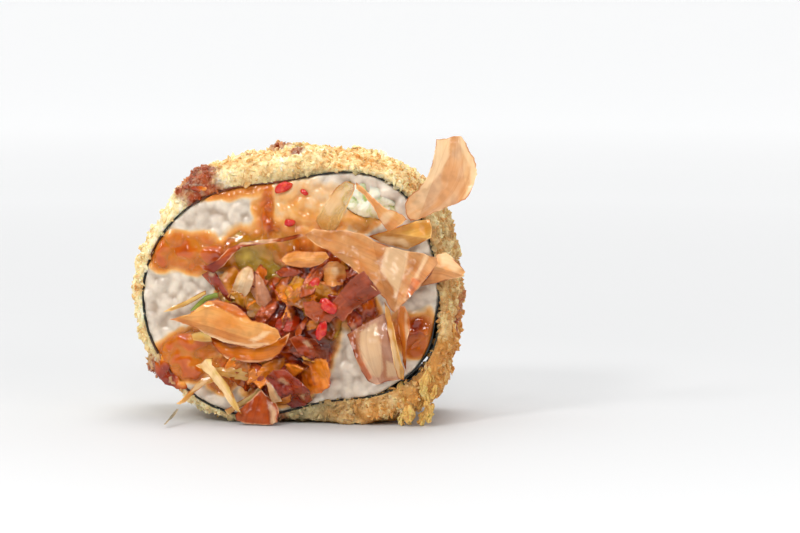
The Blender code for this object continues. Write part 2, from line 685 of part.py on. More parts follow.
def make_rice(group, toppings):
    """Rice packed inside the nori, channelled for the fillings, with grains and thick sauce."""
    steps = 84
    outline = [polar(angle, rice_radius(angle)) for angle in np.arange(steps) * 360.0 / steps]
    rice = prism("sushi_rice", outline, DEPTH, group)
    cutters = new_collection("rice_cutters")
    for filling in FILLINGS:
        cutter = prism("channel", grown(filling.outline(), GAP), DEPTH + 4.0, cutters)
        guide(cutter)
        combine(rice, "DIFFERENCE", cutter)
    remove_group(cutters)
    pieces = new_collection("rice_pieces")
    for x, z, wide, high, out in SAUCE_PADS:
        bm = bmesh.new()
        ball(bm, (x, FACE + 0.3, z), (wide, out + 0.3, high), None, 2, 0.3)
        mesh_object("pad", bm, pieces)
    for i, (x, z, half, turn) in enumerate(RICE_CHILLI):
        chilli(f"rice_chilli_{i}", x, z, FACE - 1.3, half, turn, pieces)
    draw = random.Random(GRAIN_SEED)
    outlines = [filling.outline() for filling in FILLINGS]
    trees = [tree_of(obj) for obj in toppings]
    add_grains(-1, draw, outlines, trees + [tree_of(obj) for obj in pieces.objects], pieces)
    add_grains(1, draw, outlines, [], pieces)
    combine(rice, "UNION", pieces)
    remove_group(pieces)
    keep_largest(rice)
    finish(rice, (0.80, 0.76, 0.71), 0.45, 50.0)
    return rice


def make_fillings(group):
    for filling in FILLINGS:
        obj = prism(filling.name, filling.outline(), DEPTH - 2 * filling.recess, group, edge=0.4)
        finish(obj, filling.colour, filling.roughness, 50.0)


def main():
    clear_scene()
    group = new_collection("tuna_futomaki")
    make_crust(group)
    make_nori(group)
    make_fillings(group)
    large = []
    for i, flake in enumerate(LARGE_FLAKES):
        obj = flake_object(flake, group)
        finish(obj, (0.72 - 0.02 * (i % 4), 0.38 + 0.04 * (i % 3), 0.16 + 0.05 * (i % 2)), 0.3)
        large.append(obj)
    shred = flake_object(SHRED, group)
    finish(shred, (0.30, 0.48, 0.10), 0.5)
    heap = make_heap(group, large + [shred])
    make_rice(group, large + [shred, heap])


main()
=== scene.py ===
"""Looks of the tuna futomaki slice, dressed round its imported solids.

The slice stands on its rolled side: +X is right across the shown cut face, -Y points out of
that face and +Z is up. Sizes below are in millimetres and become metres as a mesh is made.
"""

import logging
import math
import random
from collections.abc import Callable, Iterable, Sequence
from dataclasses import dataclass, field, replace
from enum import Enum

import bmesh
import bpy
import numpy as np
from mathutils import Matrix, Vector, geometry, noise
from mathutils.bvhtree import BVHTree


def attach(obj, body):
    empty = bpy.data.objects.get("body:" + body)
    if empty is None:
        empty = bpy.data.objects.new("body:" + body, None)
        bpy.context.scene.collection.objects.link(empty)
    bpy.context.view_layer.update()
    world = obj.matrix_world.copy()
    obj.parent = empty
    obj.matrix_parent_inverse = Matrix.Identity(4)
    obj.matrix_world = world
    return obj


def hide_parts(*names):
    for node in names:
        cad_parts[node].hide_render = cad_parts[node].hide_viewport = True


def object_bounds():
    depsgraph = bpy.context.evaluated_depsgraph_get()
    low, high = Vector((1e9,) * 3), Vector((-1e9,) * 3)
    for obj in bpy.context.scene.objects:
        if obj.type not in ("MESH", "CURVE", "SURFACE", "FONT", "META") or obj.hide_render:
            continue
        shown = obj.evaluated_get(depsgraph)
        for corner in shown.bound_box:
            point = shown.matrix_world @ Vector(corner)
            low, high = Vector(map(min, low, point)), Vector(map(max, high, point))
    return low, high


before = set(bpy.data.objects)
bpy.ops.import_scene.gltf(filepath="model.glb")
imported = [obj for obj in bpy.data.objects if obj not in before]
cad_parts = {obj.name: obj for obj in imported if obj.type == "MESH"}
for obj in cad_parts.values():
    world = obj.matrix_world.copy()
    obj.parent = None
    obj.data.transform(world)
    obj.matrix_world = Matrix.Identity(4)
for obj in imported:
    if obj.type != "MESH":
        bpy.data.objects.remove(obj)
CAD_LOW, CAD_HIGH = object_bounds()

LOG = logging.getLogger("futomaki")
BODY = "root"
MM = 0.001
GAP = 0.3                    # kept between neighbouring pieces
DEPTH = 26.0                 # from cut face to cut face
FACE = -DEPTH / 2            # y of the shown cut face
MIDDLE_Z = 28.5              # height of the roll's middle above its flat spot
NORI_THICK = 0.7             # the sheet of the solids
NORI_SHOWN = 0.26            # the thinner sheet that is seen
SEAM = 0.03                  # left between the sheet and its neighbours
CREASE = math.radians(42.0)  # beyond this an edge is shaded sharp
LAP = (-38.0, -12.0)         # the sheet's ends lie over each other between these angles
LAP_BLEND = 14.0             # degrees over which each end's step eases

Array = np.ndarray
Outline = list[tuple[float, float]]
Piece = bpy.types.Object
Material = bpy.types.Material
Socket = bpy.types.NodeSocket


# Shared shape rules of the roll

def ripple(angle: Array, count: float, lead: float) -> Array:
    """A cosine with count crests round the roll, the first at lead degrees."""
    return np.cos(np.radians(count * (angle - lead)))


def turn_from(angle: Array, centre: float) -> Array:
    """Degrees past centre, from -180 to 180."""
    return (angle - centre + 180.0) % 360.0 - 180.0


def bump(angle: Array, shape: Sequence[float], power: float = 4) -> Array:
    """A smooth rise of shape = (height, centre, half span) degrees."""
    height, centre, span = shape
    return height * np.exp(-np.abs(turn_from(angle, centre) / span) ** power)


def smoothstep(value: Array) -> Array:
    """Ease from 0 to 1."""
    value = np.clip(value, 0.0, 1.0)
    return value * value * (3.0 - 2.0 * value)


def nori_radius(angle: Array) -> Array:
    """Outside of the nori: a wide, slightly squared loop."""
    return (30.1 + 4.0 * ripple(angle, 2, 10.4) + 1.2 * ripple(angle, 4, 55.5)
            + 0.5 * ripple(angle, 5, -29.0) + 0.3 * ripple(angle, 3, -49.6))


def lap_inset(angle: Array) -> Array:
    """How far the inner end of the nori lies inside the outer end."""
    away = turn_from(angle, LAP[0])
    rise = smoothstep(1.0 + away / LAP_BLEND)
    fall = smoothstep(1.0 - (away - LAP[1] + LAP[0]) / LAP_BLEND)
    return (NORI_THICK + GAP) * np.where(away < 0.0, rise, fall)


def rice_radius(angle: Array) -> Array:
    """Outside of the rice in the solids, which places the fillings."""
    return nori_radius(angle) - NORI_THICK - GAP - lap_inset(angle)


def packed_radius(angle: Array) -> Array:
    """Outside of the rice that is seen, close against the nori."""
    return nori_radius(angle) - NORI_SHOWN - 2 * SEAM - lap_inset(angle)


def polar(angle: Array, radius: Array) -> tuple[Array, Array]:
    """(x, z) at an angle and a distance from the roll's middle."""
    turn = np.radians(angle)
    return radius * np.cos(turn), MIDDLE_Z + radius * np.sin(turn)


def on_roll(x: Array, z: Array) -> tuple[Array, Array]:
    """The angle in degrees and the distance of places from the roll's middle."""
    return np.degrees(np.arctan2(z - MIDDLE_Z, x)), np.hypot(x, z - MIDDLE_Z)


def xyz(x: Array | float, y: Array | float, z: Array | float) -> Array:
    """Points from their three measures, each a number or an array."""
    return np.stack(np.broadcast_arrays(x, y, z), -1)


def spline(points: Sequence, t: Array) -> Array:
    """Values at fractions t of the smooth line through points (Catmull-Rom).

    Args:
        points: numbers or equal tuples, two or more.
        t: fractions from 0 to 1.

    Returns:
        One row for each t.
    """
    points = np.array(points, float)
    last = len(points) - 1
    place = np.clip(np.asarray(t, float) * last, 0.0, last - 1e-6)
    i = place.astype(int)
    u = place - i
    if points.ndim > 1:
        u = u[..., None]
    a, b, c, d = (points[np.clip(i + k, 0, last)] for k in (-1, 0, 1, 2))
    return 0.5 * (2 * b + (c - a) * u + (2 * a - 5 * b + 4 * c - d) * u * u
                  + (3 * b - a - 3 * c + d) * u ** 3)


def noise_at(points: Array, scale: float, shift: float = 0.0) -> Array:
    """Smooth noise from about -1 to 1 at each point.

    Args:
        points: an array whose last axis is x, y, z.
        scale: bumps to the millimetre.
        shift: moves the pattern.
    """
    flat = (np.asarray(points, float).reshape(-1, 3) * scale + shift).tolist()
    return np.array([noise.noise(p) for p in flat]).reshape(points.shape[:-1])


def outline_distance(x: Array, z: Array, outline: Outline) -> Array:
    """Distance to an outline in the plane of the cut face, negative inside it."""
    inside = np.zeros(x.shape, bool)
    nearest = np.full(x.shape, 1e9)
    for (x1, z1), (x2, z2) in zip(outline, outline[1:] + outline[:1]):
        if z1 != z2:
            crossing = ((z1 > z) != (z2 > z)) & (x < (x2 - x1) * (z - z1) / (z2 - z1) + x1)
            inside ^= crossing
        dx, dz = x2 - x1, z2 - z1
        t = np.clip(((x - x1) * dx + (z - z1) * dz) / max(dx * dx + dz * dz, 1e-9), 0.0, 1.0)
        nearest = np.minimum(nearest, np.hypot(x - x1 - dx * t, z - z1 - dz * t))
    return np.where(inside, -nearest, nearest)


# Mesh helpers

def placed(name: str, data: bpy.types.ID) -> Piece:
    """A new object in the scene that holds a mesh, a light or a camera."""
    obj = bpy.data.objects.new(name, data)
    bpy.context.scene.collection.objects.link(obj)
    return obj


def new_object(name: str, points: Array, faces: Array | list, smooth: bool = True) -> Piece:
    """A mesh object from points in millimetres and rows of point numbers."""
    mesh = bpy.data.meshes.new(name)
    faces = faces.tolist() if isinstance(faces, np.ndarray) else faces
    mesh.from_pydata((np.asarray(points, float).reshape(-1, 3) * MM).tolist(), [], faces)
    if smooth:
        mesh.shade_smooth()
    return placed(name, mesh)


def from_bmesh(name: str, bm: bmesh.types.BMesh) -> Piece:
    """A mesh object from a BMesh, which is freed."""
    mesh = bpy.data.meshes.new(name)
    bm.to_mesh(mesh)
    bm.free()
    return placed(name, mesh)


def points_of(obj: Piece) -> Array:
    """The object's points in millimetres."""
    flat = np.zeros(len(obj.data.vertices) * 3, np.float32)
    obj.data.vertices.foreach_get("co", flat)
    return flat.reshape(-1, 3).astype(float) / MM


def set_points(obj: Piece, points: Array) -> None:
    """Move the object's points to places in millimetres."""
    obj.data.vertices.foreach_set("co", (points * MM).astype(np.float32).ravel())
    obj.data.update()


def store(obj: Piece, **kept: object) -> None:
    """Keep numbers and colours at the points for the material to read.

    Args:
        obj: the piece.
        kept: by name, one number or colour for all points, or one for each.
    """
    count = len(obj.data.vertices)
    for name, values in kept.items():
        values = np.asarray(values, np.float32)
        if values.shape[-1:] == (3,):
            rows = np.ones((count, 4), np.float32)
            rows[:, :3] = values
            made = obj.data.attributes.new(name, "FLOAT_COLOR", "POINT")
            made.data.foreach_set("color", rows.ravel())
        else:
            made = obj.data.attributes.new(name, "FLOAT", "POINT")
            made.data.foreach_set("value", np.full(count, values))


def bake(obj: Piece) -> None:
    """Turn the object into the plain mesh that its modifiers give."""
    depsgraph = bpy.context.evaluated_depsgraph_get()
    mesh = bpy.data.meshes.new_from_object(obj.evaluated_get(depsgraph), preserve_all_data_layers=True,
                                           depsgraph=depsgraph)
    obj.modifiers.clear()
    obj.data = mesh
    mesh.name = obj.name


def fuse(obj: Piece, voxel: float, soften: int) -> None:
    """Melt an object's shells into one skin with faces of voxel millimetres, smoothed soften times."""
    melt = obj.modifiers.new("Melt", "REMESH")
    melt.mode = "VOXEL"
    melt.voxel_size = voxel * MM
    melt.use_smooth_shade = True
    relax = obj.modifiers.new("Relax", "SMOOTH")
    relax.factor = 0.5
    relax.iterations = soften
    bake(obj)


def drop(obj: Piece) -> None:
    """Remove an object and its mesh."""
    mesh = obj.data
    bpy.data.objects.remove(obj, do_unlink=True)
    bpy.data.meshes.remove(mesh)


def join(target: Piece, others: Iterable[Piece]) -> None:
    """Add other objects' shells to the target's mesh and remove those objects."""
    bm = bmesh.new()
    bm.from_mesh(target.data)
    for other in others:
        bm.from_mesh(other.data)
        drop(other)
    bm.to_mesh(target.data)
    bm.free()
    target.data.update()


def prism(name: str, outline: Outline, reach: float) -> Piece:
    """A flat outline run through from y = -reach to y = reach."""
    count = len(outline)
    points = [(x, y, z) for y in (-reach, reach) for x, z in outline]
    around = [(i, (i + 1) % count, (i + 1) % count + count, i + count) for i in range(count)]
    caps = [tuple(range(count))[::-1], tuple(range(count, 2 * count))]
    obj = new_object(name, points, around + caps, smooth=False)
    bm = bmesh.new()
    bm.from_mesh(obj.data)
    bmesh.ops.triangulate(bm, faces=[f for f in bm.faces if len(f.verts) > 4])
    bmesh.ops.recalc_face_normals(bm, faces=bm.faces)
    bm.to_mesh(obj.data)
    bm.free()
    return obj


def subtract(obj: Piece, cutter: Piece) -> None:
    """Cut one closed shape out of another and remove the cutter."""
    cut = obj.modifiers.new("Cut", "BOOLEAN")
    cut.operation = "DIFFERENCE"
    cut.solver = "MANIFOLD"
    cut.object = cutter
    bake(obj)
    drop(cutter)


def tree_of(objects: Iterable[Piece]) -> BVHTree:
    """A search tree over several objects' faces, in millimetres."""
    points, faces, start = [], [], 0
    for obj in objects:
        own = points_of(obj)
        points.extend(own.tolist())
        faces.extend([[v + start for v in face.vertices] for face in obj.data.polygons])
        start += len(own)
    return BVHTree.FromPolygons(points, faces)


def grid_faces(keep: Array) -> Array:
    """Squares between the kept points of a grid, as rows of four point numbers."""
    i, j = np.nonzero(keep[:-1, :-1] & keep[1:, :-1] & keep[1:, 1:] & keep[:-1, 1:])
    cols = keep.shape[1]
    a = i * cols + j
    return np.stack([a, a + cols, a + cols + 1, a + 1], -1)


def solid_sheet(name: str, at: Array, thick: Array) -> Piece:
    """A closed thin solid about a grid of points.

    Args:
        name: the piece's name.
        at: the middle surface, rows by columns by x, y, z.
        thick: the wall at each point.

    Returns:
        The object; its points are the near side's and then the far side's.
    """
    out = np.cross(np.gradient(at, axis=0), np.gradient(at, axis=1))
    out /= np.linalg.norm(out, axis=-1, keepdims=True) + 1e-9
    rows, cols = at.shape[:2]
    half = thick[..., None] / 2
    points = np.concatenate([(at + out * half).reshape(-1, 3), (at - out * half).reshape(-1, 3)])
    n = rows * cols
    near = grid_faces(np.ones((rows, cols), bool))
    far = near[:, ::-1] + n
    number = np.arange(n).reshape(rows, cols)
    loop = np.concatenate([number[0], number[1:, -1], number[-1, -2::-1], number[-2:0:-1, 0]]).tolist()
    rim = [(p, q, q + n, p + n) for p, q in zip(loop, loop[1:] + loop[:1])]
    obj = new_object(name, points, near.tolist() + far.tolist() + rim)
    obj.data.set_sharp_from_angle(angle=CREASE)
    return obj


def publish(obj: Piece, material: Material | None, slot: str, *nodes: str) -> None:
    """Give a finished piece its material, hang it under the body and hide the solids it stands for.

    Args:
        obj: the piece.
        material: what it wears, or None where it has its material.
        slot: the name of the material slot it belongs to, which is only logged.
        nodes: the solids it stands for.
    """
    if material:
        obj.data.materials.clear()
        obj.data.materials.append(material)
    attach(obj, BODY)
    if nodes:
        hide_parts(*nodes)
    triangles = sum(len(face.vertices) - 2 for face in obj.data.polygons)
    LOG.info("%s: %d triangles, slot %s, stands for %s", obj.name, triangles, slot,
             ", ".join(nodes) or "nothing")


# Materials

def srgb(red: float, green: float, blue: float) -> tuple[float, float, float]:
    """A screen colour from 0 to 255 as linear light."""
    shares = (red / 255.0, green / 255.0, blue / 255.0)
    return tuple(c / 12.92 if c <= 0.04045 else ((c + 0.055) / 1.055) ** 2.4 for c in shares)


class NodeWriter:
    """A node tree being written."""

    def __init__(self, tree: bpy.types.NodeTree) -> None:
        """Take the tree to write in."""
        self.tree = tree

    def feed(self, socket: Socket, value: object) -> None:
        """Link a socket to another, or set its value."""
        if isinstance(value, Socket):
            self.tree.links.new(value, socket)
        elif socket.type == "RGBA" and len(value) == 3:
            socket.default_value = (*value, 1.0)
        else:
            socket.default_value = value

    def node(self, kind: str, values: dict | None = None, **settings: object) -> bpy.types.Node:
        """Add a node.

        Args:
            kind: the node's type name.
            values: its inputs by name or number.
            settings: its own properties.

        Returns:
            The node.
        """
        made = self.tree.nodes.new(kind)
        for key, value in settings.items():
            setattr(made, key, value)
        for key, value in (values or {}).items():
            self.feed(made.inputs[key], value)
        return made


class Shade(NodeWriter):
    """A material being written: one Principled shader and short calls for the nodes before it."""

    def __init__(self, name: str) -> None:
        """Start a material of that name."""
        self.material = bpy.data.materials.new(name)
        self.material.use_nodes = True
        super().__init__(self.material.node_tree)
        self.shader = self.tree.nodes["Principled BSDF"]
        self.place = self.node("ShaderNodeTexCoord").outputs["Object"]

    def surface(self, **values: object) -> None:
        """Set the shader's inputs; an underscore in a name stands for a space."""
        for key, value in values.items():
            self.feed(self.shader.inputs[key.replace("_", " ")], value)

    def light_inside(self, weight: float, reach: tuple[float, float, float], scale: float) -> None:
        """Let light wander under the surface, scale millimetres deep for a reach of 1."""
        self.surface(Subsurface_Weight=weight, Subsurface_Radius=reach, Subsurface_Scale=scale * MM)

    def stretched(self, scale: tuple[float, float, float], vector: Socket) -> Socket:
        """Coordinates with their own scale along each axis."""
        return self.node("ShaderNodeMapping", {"Vector": vector, "Scale": scale}).outputs["Vector"]

    def noise(self, size: float, detail: float = 3.0, rough: float = 0.5, vector: Socket | None = None,
              warp: float = 0.0) -> Socket:
        """Cloudy noise with patches of about size millimetres on object coordinates."""
        values = {"Vector": vector or self.place, "Scale": 1.0 / (size * MM), "Detail": detail,
                  "Roughness": rough, "Distortion": warp}
        return self.node("ShaderNodeTexNoise", values).outputs[0]

    def cells(self, size: float) -> Socket:
        """Distance pattern of cells of about size millimetres."""
        values = {"Vector": self.place, "Scale": 1.0 / (size * MM)}
        return self.node("ShaderNodeTexVoronoi", values).outputs["Distance"]

    def read(self, name: str, output: str = "Fac") -> Socket:
        """A number kept on the mesh, or a colour with output "Color"."""
        return self.node("ShaderNodeAttribute", attribute_name=name).outputs[output]

    def ramp(self, value: Socket, *stops: tuple) -> Socket:
        """Colours at places from 0 to 1; a stop is (place, colour or grey)."""
        made = self.node("ShaderNodeValToRGB", {"Fac": value})
        elements = made.color_ramp.elements
        while len(elements) < len(stops):
            elements.new(0.5)
        for element, (place, colour) in zip(elements, stops):
            element.position = place
            element.color = (*(colour if isinstance(colour, tuple) else (colour,) * 3), 1.0)
        return made.outputs["Color"]

    def mix(self, share: object, first: object, second: object, mode: str = "MIX") -> Socket:
        """Blend two colours."""
        values = {0: share, 6: first, 7: second}
        return self.node("ShaderNodeMix", values, data_type="RGBA", blend_type=mode).outputs[2]

    def math(self, operation: str, *values: object, clamp: bool = False) -> Socket:
        """Arithmetic on numbers."""
        values = dict(enumerate(values))
        return self.node("ShaderNodeMath", values, operation=operation, use_clamp=clamp).outputs[0]

    def times(self, first: object, second: object, clamp: bool = False) -> Socket:
        """first x second."""
        return self.math("MULTIPLY", first, second, clamp=clamp)

    def sway(self, value: object, share: object, level: object, clamp: bool = False) -> Socket:
        """level with share of value added."""
        return self.math("MULTIPLY_ADD", value, share, level, clamp=clamp)

    def centred(self, value: object) -> Socket:
        """A share from 0 to 1 as -0.5 to 0.5."""
        return self.math("SUBTRACT", value, 0.5)

    def span(self, value: object, low: float, high: float, first: float, last: float) -> Socket:
        """Map low..high to first..last."""
        values = {"Value": value, "From Min": low, "From Max": high, "To Min": first, "To Max": last}
        return self.node("ShaderNodeMapRange", values, clamp=True).outputs["Result"]

    def relief(self, height: object, depth: float) -> None:
        """Raise the surface in light by up to depth millimetres."""
        values = {"Height": height, "Distance": depth * MM, "Strength": 1.0}
        self.surface(Normal=self.node("ShaderNodeBump", values).outputs["Normal"])


@dataclass(frozen=True)
class Finish:
    """A finish by name; each kind mixes its own."""
    name: str

    def make(self) -> Material:
        """Write the material."""
        shade = Shade(self.name)
        self.write(shade)
        return shade.material

    def write(self, shade: Shade) -> None:
        """Write the nodes before the shader."""
        raise NotImplementedError


@dataclass(frozen=True)
class PankoFinish(Finish):
    """Fried breadcrumb: pale gold, toasted in patches and painted paler on the left (painted light), greyer
    by the nori and painted darker under the bottom (painted shade), dark where glazed.
    """
    pale: tuple = srgb(255, 248, 222)
    gold: tuple = srgb(246, 222, 164)
    toasted: tuple = srgb(212, 148, 72)
    grey: tuple = srgb(158, 144, 104)
    glazed: tuple = srgb(116, 32, 4)
    glazed_thin: tuple = srgb(186, 84, 26)
    crumb: float = 0.9

    def write(self, shade: Shade) -> None:
        """Write the nodes before the shader."""
        patch = shade.noise(3.2, 4.0, 0.6)
        speck = shade.noise(self.crumb, 3.0, 0.65)
        mixed = shade.sway(shade.read("tone"), 0.34, shade.sway(speck, 0.5, patch))
        # this level holds real toasting and painted light, paler on the left of the ring
        level = shade.sway(shade.read("toast"), 0.5, shade.centred(mixed))
        colour = shade.ramp(level, (0.18, self.pale), (0.48, self.gold), (0.86, self.toasted))
        # greyer crumb by the nori and on the upper right, and painted shade under the bottom of the ring
        grey_and_shade_share = shade.times(shade.read("grey"), shade.span(patch, 0.35, 0.6, 0.45, 1.0))
        colour = shade.mix(grey_and_shade_share, colour, self.grey)
        glaze = shade.times(shade.read("glaze"), shade.span(speck, 0.3, 0.55, 0.7, 1.0), clamp=True)
        colour = shade.mix(glaze, colour, shade.ramp(patch, (0.3, self.glazed), (0.7, self.glazed_thin)))
        shade.surface(Base_Color=colour, Roughness=shade.span(glaze, 0.0, 1.0, 0.72, 0.14),
                      Specular_IOR_Level=0.4)
        shade.light_inside(0.35, (1.0, 0.55, 0.25), 1.0)
        shade.relief(shade.math("ADD", shade.noise(0.5, 3.0, 0.7), shade.cells(0.7)), 0.16)


@dataclass(frozen=True)
class NoriFinish(Finish):
    """Roasted seaweed: green-black, fine-grained, softly shining where damp."""
    name: str = "nori"
    dark: tuple = srgb(20, 20, 16)
    green: tuple = srgb(44, 46, 30)
    sauced: tuple = srgb(150, 66, 14)

    def write(self, shade: Shade) -> None:
        """Write the nodes before the shader."""
        fibre = shade.noise(0.8, 4.0, 0.65)
        colour = shade.ramp(fibre, (0.4, self.dark), (0.75, self.green))
        colour = shade.mix(shade.times(shade.read("stain"), 0.75), colour, self.sauced)
        shade.surface(Base_Color=colour, Roughness=shade.span(fibre, 0.3, 0.7, 0.3, 0.6))
        shade.relief(fibre, 0.12)


@dataclass(frozen=True)
class RiceFinish(Finish):
    """Moist cooked rice, stained amber where sauce has run over it, with painted shade between the grains."""
    name: str = "rice"
    white: tuple = srgb(234, 220, 201)
    cool: tuple = srgb(202, 186, 168)
    crevice: tuple = srgb(166, 140, 116)
    peach: tuple = srgb(242, 210, 154)
    amber: tuple = srgb(230, 164, 84)
    orange: tuple = srgb(206, 112, 36)

    def write(self, shade: Shade) -> None:
        """Write the nodes before the shader."""
        cloud = shade.noise(3.4)
        colour = shade.ramp(cloud, (0.36, self.cool), (0.62, self.white))
        # painted shade: darker deeper down between the grains
        colour = shade.mix(shade.times(shade.read("crevice"), 0.8), colour, self.crevice)
        given = shade.read("stain")
        stain = shade.sway(shade.centred(cloud), 0.7, given, clamp=True)
        stain = shade.times(stain, shade.span(given, 0.0, 0.15, 0.0, 1.0))
        sauce = shade.ramp(stain, (0.12, self.peach), (0.5, self.amber), (0.95, self.orange))
        colour = shade.mix(shade.span(stain, 0.03, 0.4, 0.0, 1.0), colour, sauce)
        shade.surface(Base_Color=colour, Roughness=shade.span(stain, 0.0, 0.6, 0.3, 0.12),
                      Specular_IOR_Level=0.5)
        shade.light_inside(0.5, (1.0, 0.75, 0.6), 0.7)
        shade.relief(shade.noise(1.6, 2.0), 0.05)


@dataclass(frozen=True)
class FleshFinish(Finish):
    """Cut flesh of a filling: two soft tones, a rim tone and fine wet relief."""
    light: tuple
    deep: tuple
    rim: tuple
    patch: float
    roughness: float
    stain: tuple = srgb(198, 150, 40)

    def write(self, shade: Shade) -> None:
        """Write the nodes before the shader."""
        cloud = shade.sway(shade.read("chunk"), 0.3, shade.noise(self.patch, 4.0, 0.55, warp=0.6))
        colour = shade.ramp(cloud, (0.36, self.deep), (0.6, self.light))
        colour = shade.mix(shade.span(shade.read("rim"), 0.0, 1.0, 0.0, 1.0), colour, self.rim)
        colour = shade.mix(shade.times(shade.read("stain"), 0.7), colour, self.stain)
        shade.surface(Base_Color=colour, Roughness=self.roughness, Specular_IOR_Level=0.5)
        shade.light_inside(0.4, (0.8, 0.9, 0.3), 1.2)
        shade.relief(shade.noise(0.7, 3.0, 0.6), 0.12)


@dataclass(frozen=True)
class SauceFinish(Finish):
    """Sticky amber glaze: clear at its thin edges, deep red-brown where thick, mirror bright; in the heap it
    is painted darker in the creases and lighter on the crests (painted shade and painted light).
    """
    name: str = "amber_glaze"
    thin: tuple = srgb(234, 150, 48)
    amber: tuple = srgb(202, 92, 4)
    deep: tuple = srgb(152, 46, 2)
    dark: tuple = srgb(82, 14, 4)
    green: tuple = srgb(172, 140, 30)

    def write(self, shade: Shade) -> None:
        """Write the nodes before the shader."""
        cloud = shade.noise(5.0, warp=0.4)
        uneven = shade.centred(cloud)
        depth = shade.sway(uneven, 0.6, shade.read("depth"), clamp=True)
        colour = shade.ramp(depth, (0.03, self.thin), (0.2, self.amber), (0.52, self.deep), (0.92, self.dark))
        seen_through = shade.times(shade.read("green"), shade.span(depth, 0.2, 0.6, 0.85, 0.2))
        colour = shade.mix(seen_through, colour, self.green)
        dimmed = shade.ramp(cloud, (0.35, 0.62), (0.6, 1.0))
        piece = shade.mix(1.0, shade.read("tint", "Color"), dimmed, "MULTIPLY")
        colour = shade.mix(shade.span(shade.read("shown"), 0.5, 1.0, 0.0, 0.85), colour, piece)
        film = shade.sway(uneven, 0.6, shade.read("film"))
        shade.surface(Base_Color=colour, Roughness=0.05, Specular_IOR_Level=0.5, Coat_Weight=0.35,
                      Coat_Roughness=0.02, Alpha=shade.span(film, 0.02, 0.9, 0.0, 1.0))
        shade.relief(shade.times(shade.noise(1.8, 1.0), shade.read("crumple")), 0.35)


@dataclass(frozen=True)
class BonitoFinish(Finish):
    """Thin fish shaving: a clear warm sheet with fine fibres, its rim dark in places and painted bright in
    others (painted highlight), with painted highlights on its pale spots and painted shade beside its folds
    and in their creases.
    """
    alpha: float = 1.0
    gloss: float = 0.16
    drawn_up: float = 0.8
    lumpy: float = 0.0
    painted_highlight: tuple = srgb(255, 218, 168)
    warm: tuple = srgb(252, 228, 196)
    glint: float = 0.4
    soaked: tuple = srgb(206, 90, 12)
    soaked_deep: tuple = srgb(112, 24, 4)

    def write(self, shade: Shade) -> None:
        """Write the nodes before the shader."""
        lie = {"X": shade.read("along"), "Y": shade.read("across"), "Z": shade.read("lot")}
        lie = shade.node("ShaderNodeCombineXYZ", lie).outputs["Vector"]
        fibre = shade.noise(1.0, 3.0, 0.6, shade.stretched((0.05, 1.7, 1.0), lie), 0.2)
        broad = shade.noise(1.0, 2.0, 0.5, shade.stretched((0.12, 0.3, 1.0), lie), 0.4)
        cloud = shade.noise(2.8, 2.0)
        body, rim = shade.read("tint", "Color"), shade.read("rim_tint", "Color")
        fold_a, fold_b = shade.read("fold_a"), shade.read("fold_b")
        colour = shade.mix(1.0, body, shade.ramp(cloud, (0.36, 0.78), (0.56, 1.0)), "MULTIPLY")
        colour = shade.mix(1.0, colour, shade.ramp(broad, (0.42, 1.0), (0.6, self.warm)), "MULTIPLY")
        colour = shade.mix(shade.span(broad, 0.54, 0.72, 0.0, 0.16), colour, rim)
        colour = shade.mix(shade.span(fibre, 0.5, 0.66, 0.0, 0.24), colour, rim)
        # painted shade: one side of each fold is darker, so the facets read as differently lit
        colour = shade.mix(shade.span(fold_b, -0.1, 0.1, 0.0, 0.28), colour, rim)
        colour = shade.mix(shade.span(fold_a, -0.1, 0.1, 0.22, 0.0), colour, rim)
        # painted highlight where the flake is marked pale
        bright = shade.times(shade.read("pale"), shade.span(fibre, 0.3, 0.7, 0.8, 0.6))
        colour = shade.mix(bright, colour, self.painted_highlight)
        given = shade.read("soak")
        soak = shade.sway(shade.centred(cloud), 1.2, given, clamp=True)
        soak = shade.times(soak, shade.span(given, 0.0, 0.2, 0.0, 1.0))
        wet = shade.ramp(shade.math("ADD", broad, shade.times(fibre, 0.25)),
                         (0.5, self.soaked), (0.76, self.soaked_deep))
        colour = shade.mix(shade.times(soak, self.drawn_up), colour, wet)
        # painted shade: a dark line along each fold's crease
        nearest = shade.math("MINIMUM", shade.math("ABSOLUTE", fold_a), shade.math("ABSOLUTE", fold_b))
        crease_shade = shade.span(nearest, 0.02, 0.16, 0.14, 0.0)
        drawn = shade.span(shade.noise(4.5, 1.0), 0.44, 0.56, 0.0, 0.95)
        edge = shade.sway(shade.centred(cloud), -0.5, shade.read("edge"))
        ring = shade.span(edge, 0.04, 0.3, 1.0, 0.0)
        # painted highlight along the rim where no dark line is drawn
        glint = shade.times(shade.span(drawn, 0.0, 0.9, self.glint, 0.0), ring)
        colour = shade.mix(glint, colour, self.painted_highlight)
        line = shade.math("MAXIMUM", crease_shade, shade.times(drawn, ring))
        colour = shade.mix(line, colour, rim)
        shade.surface(Base_Color=colour, Roughness=shade.span(soak, 0.0, 0.6, self.gloss, 0.06),
                      Specular_IOR_Level=0.4)
        if self.alpha < 1.0:
            dense = shade.math("MAXIMUM", ring, soak)
            shade.surface(Alpha=shade.span(dense, 0.0, 0.6, self.alpha, 1.0))
        if self.lumpy:
            shade.surface(Coat_Weight=0.4, Coat_Roughness=0.02)
            shade.relief(shade.noise(2.2, 1.0, warp=0.8), self.lumpy)
        else:
            shade.relief(fibre, 0.04)


@dataclass(frozen=True)
class ChilliFinish(Finish):
    """Pickled chilli skin: clear red with orange flesh at the cut."""
    name: str = "chilli"
    red: tuple = srgb(204, 28, 26)
    flesh: tuple = srgb(232, 96, 48)

    def write(self, shade: Shade) -> None:
        """Write the nodes before the shader."""
        cloud = shade.noise(1.2)
        shade.surface(Base_Color=shade.ramp(cloud, (0.45, self.red), (0.75, self.flesh)), Roughness=0.12,
                      Coat_Weight=0.3, Coat_Roughness=0.04)
        shade.light_inside(0.3, (1.0, 0.2, 0.1), 0.8)
        shade.relief(cloud, 0.2)


# Scatter of small things by Geometry Nodes

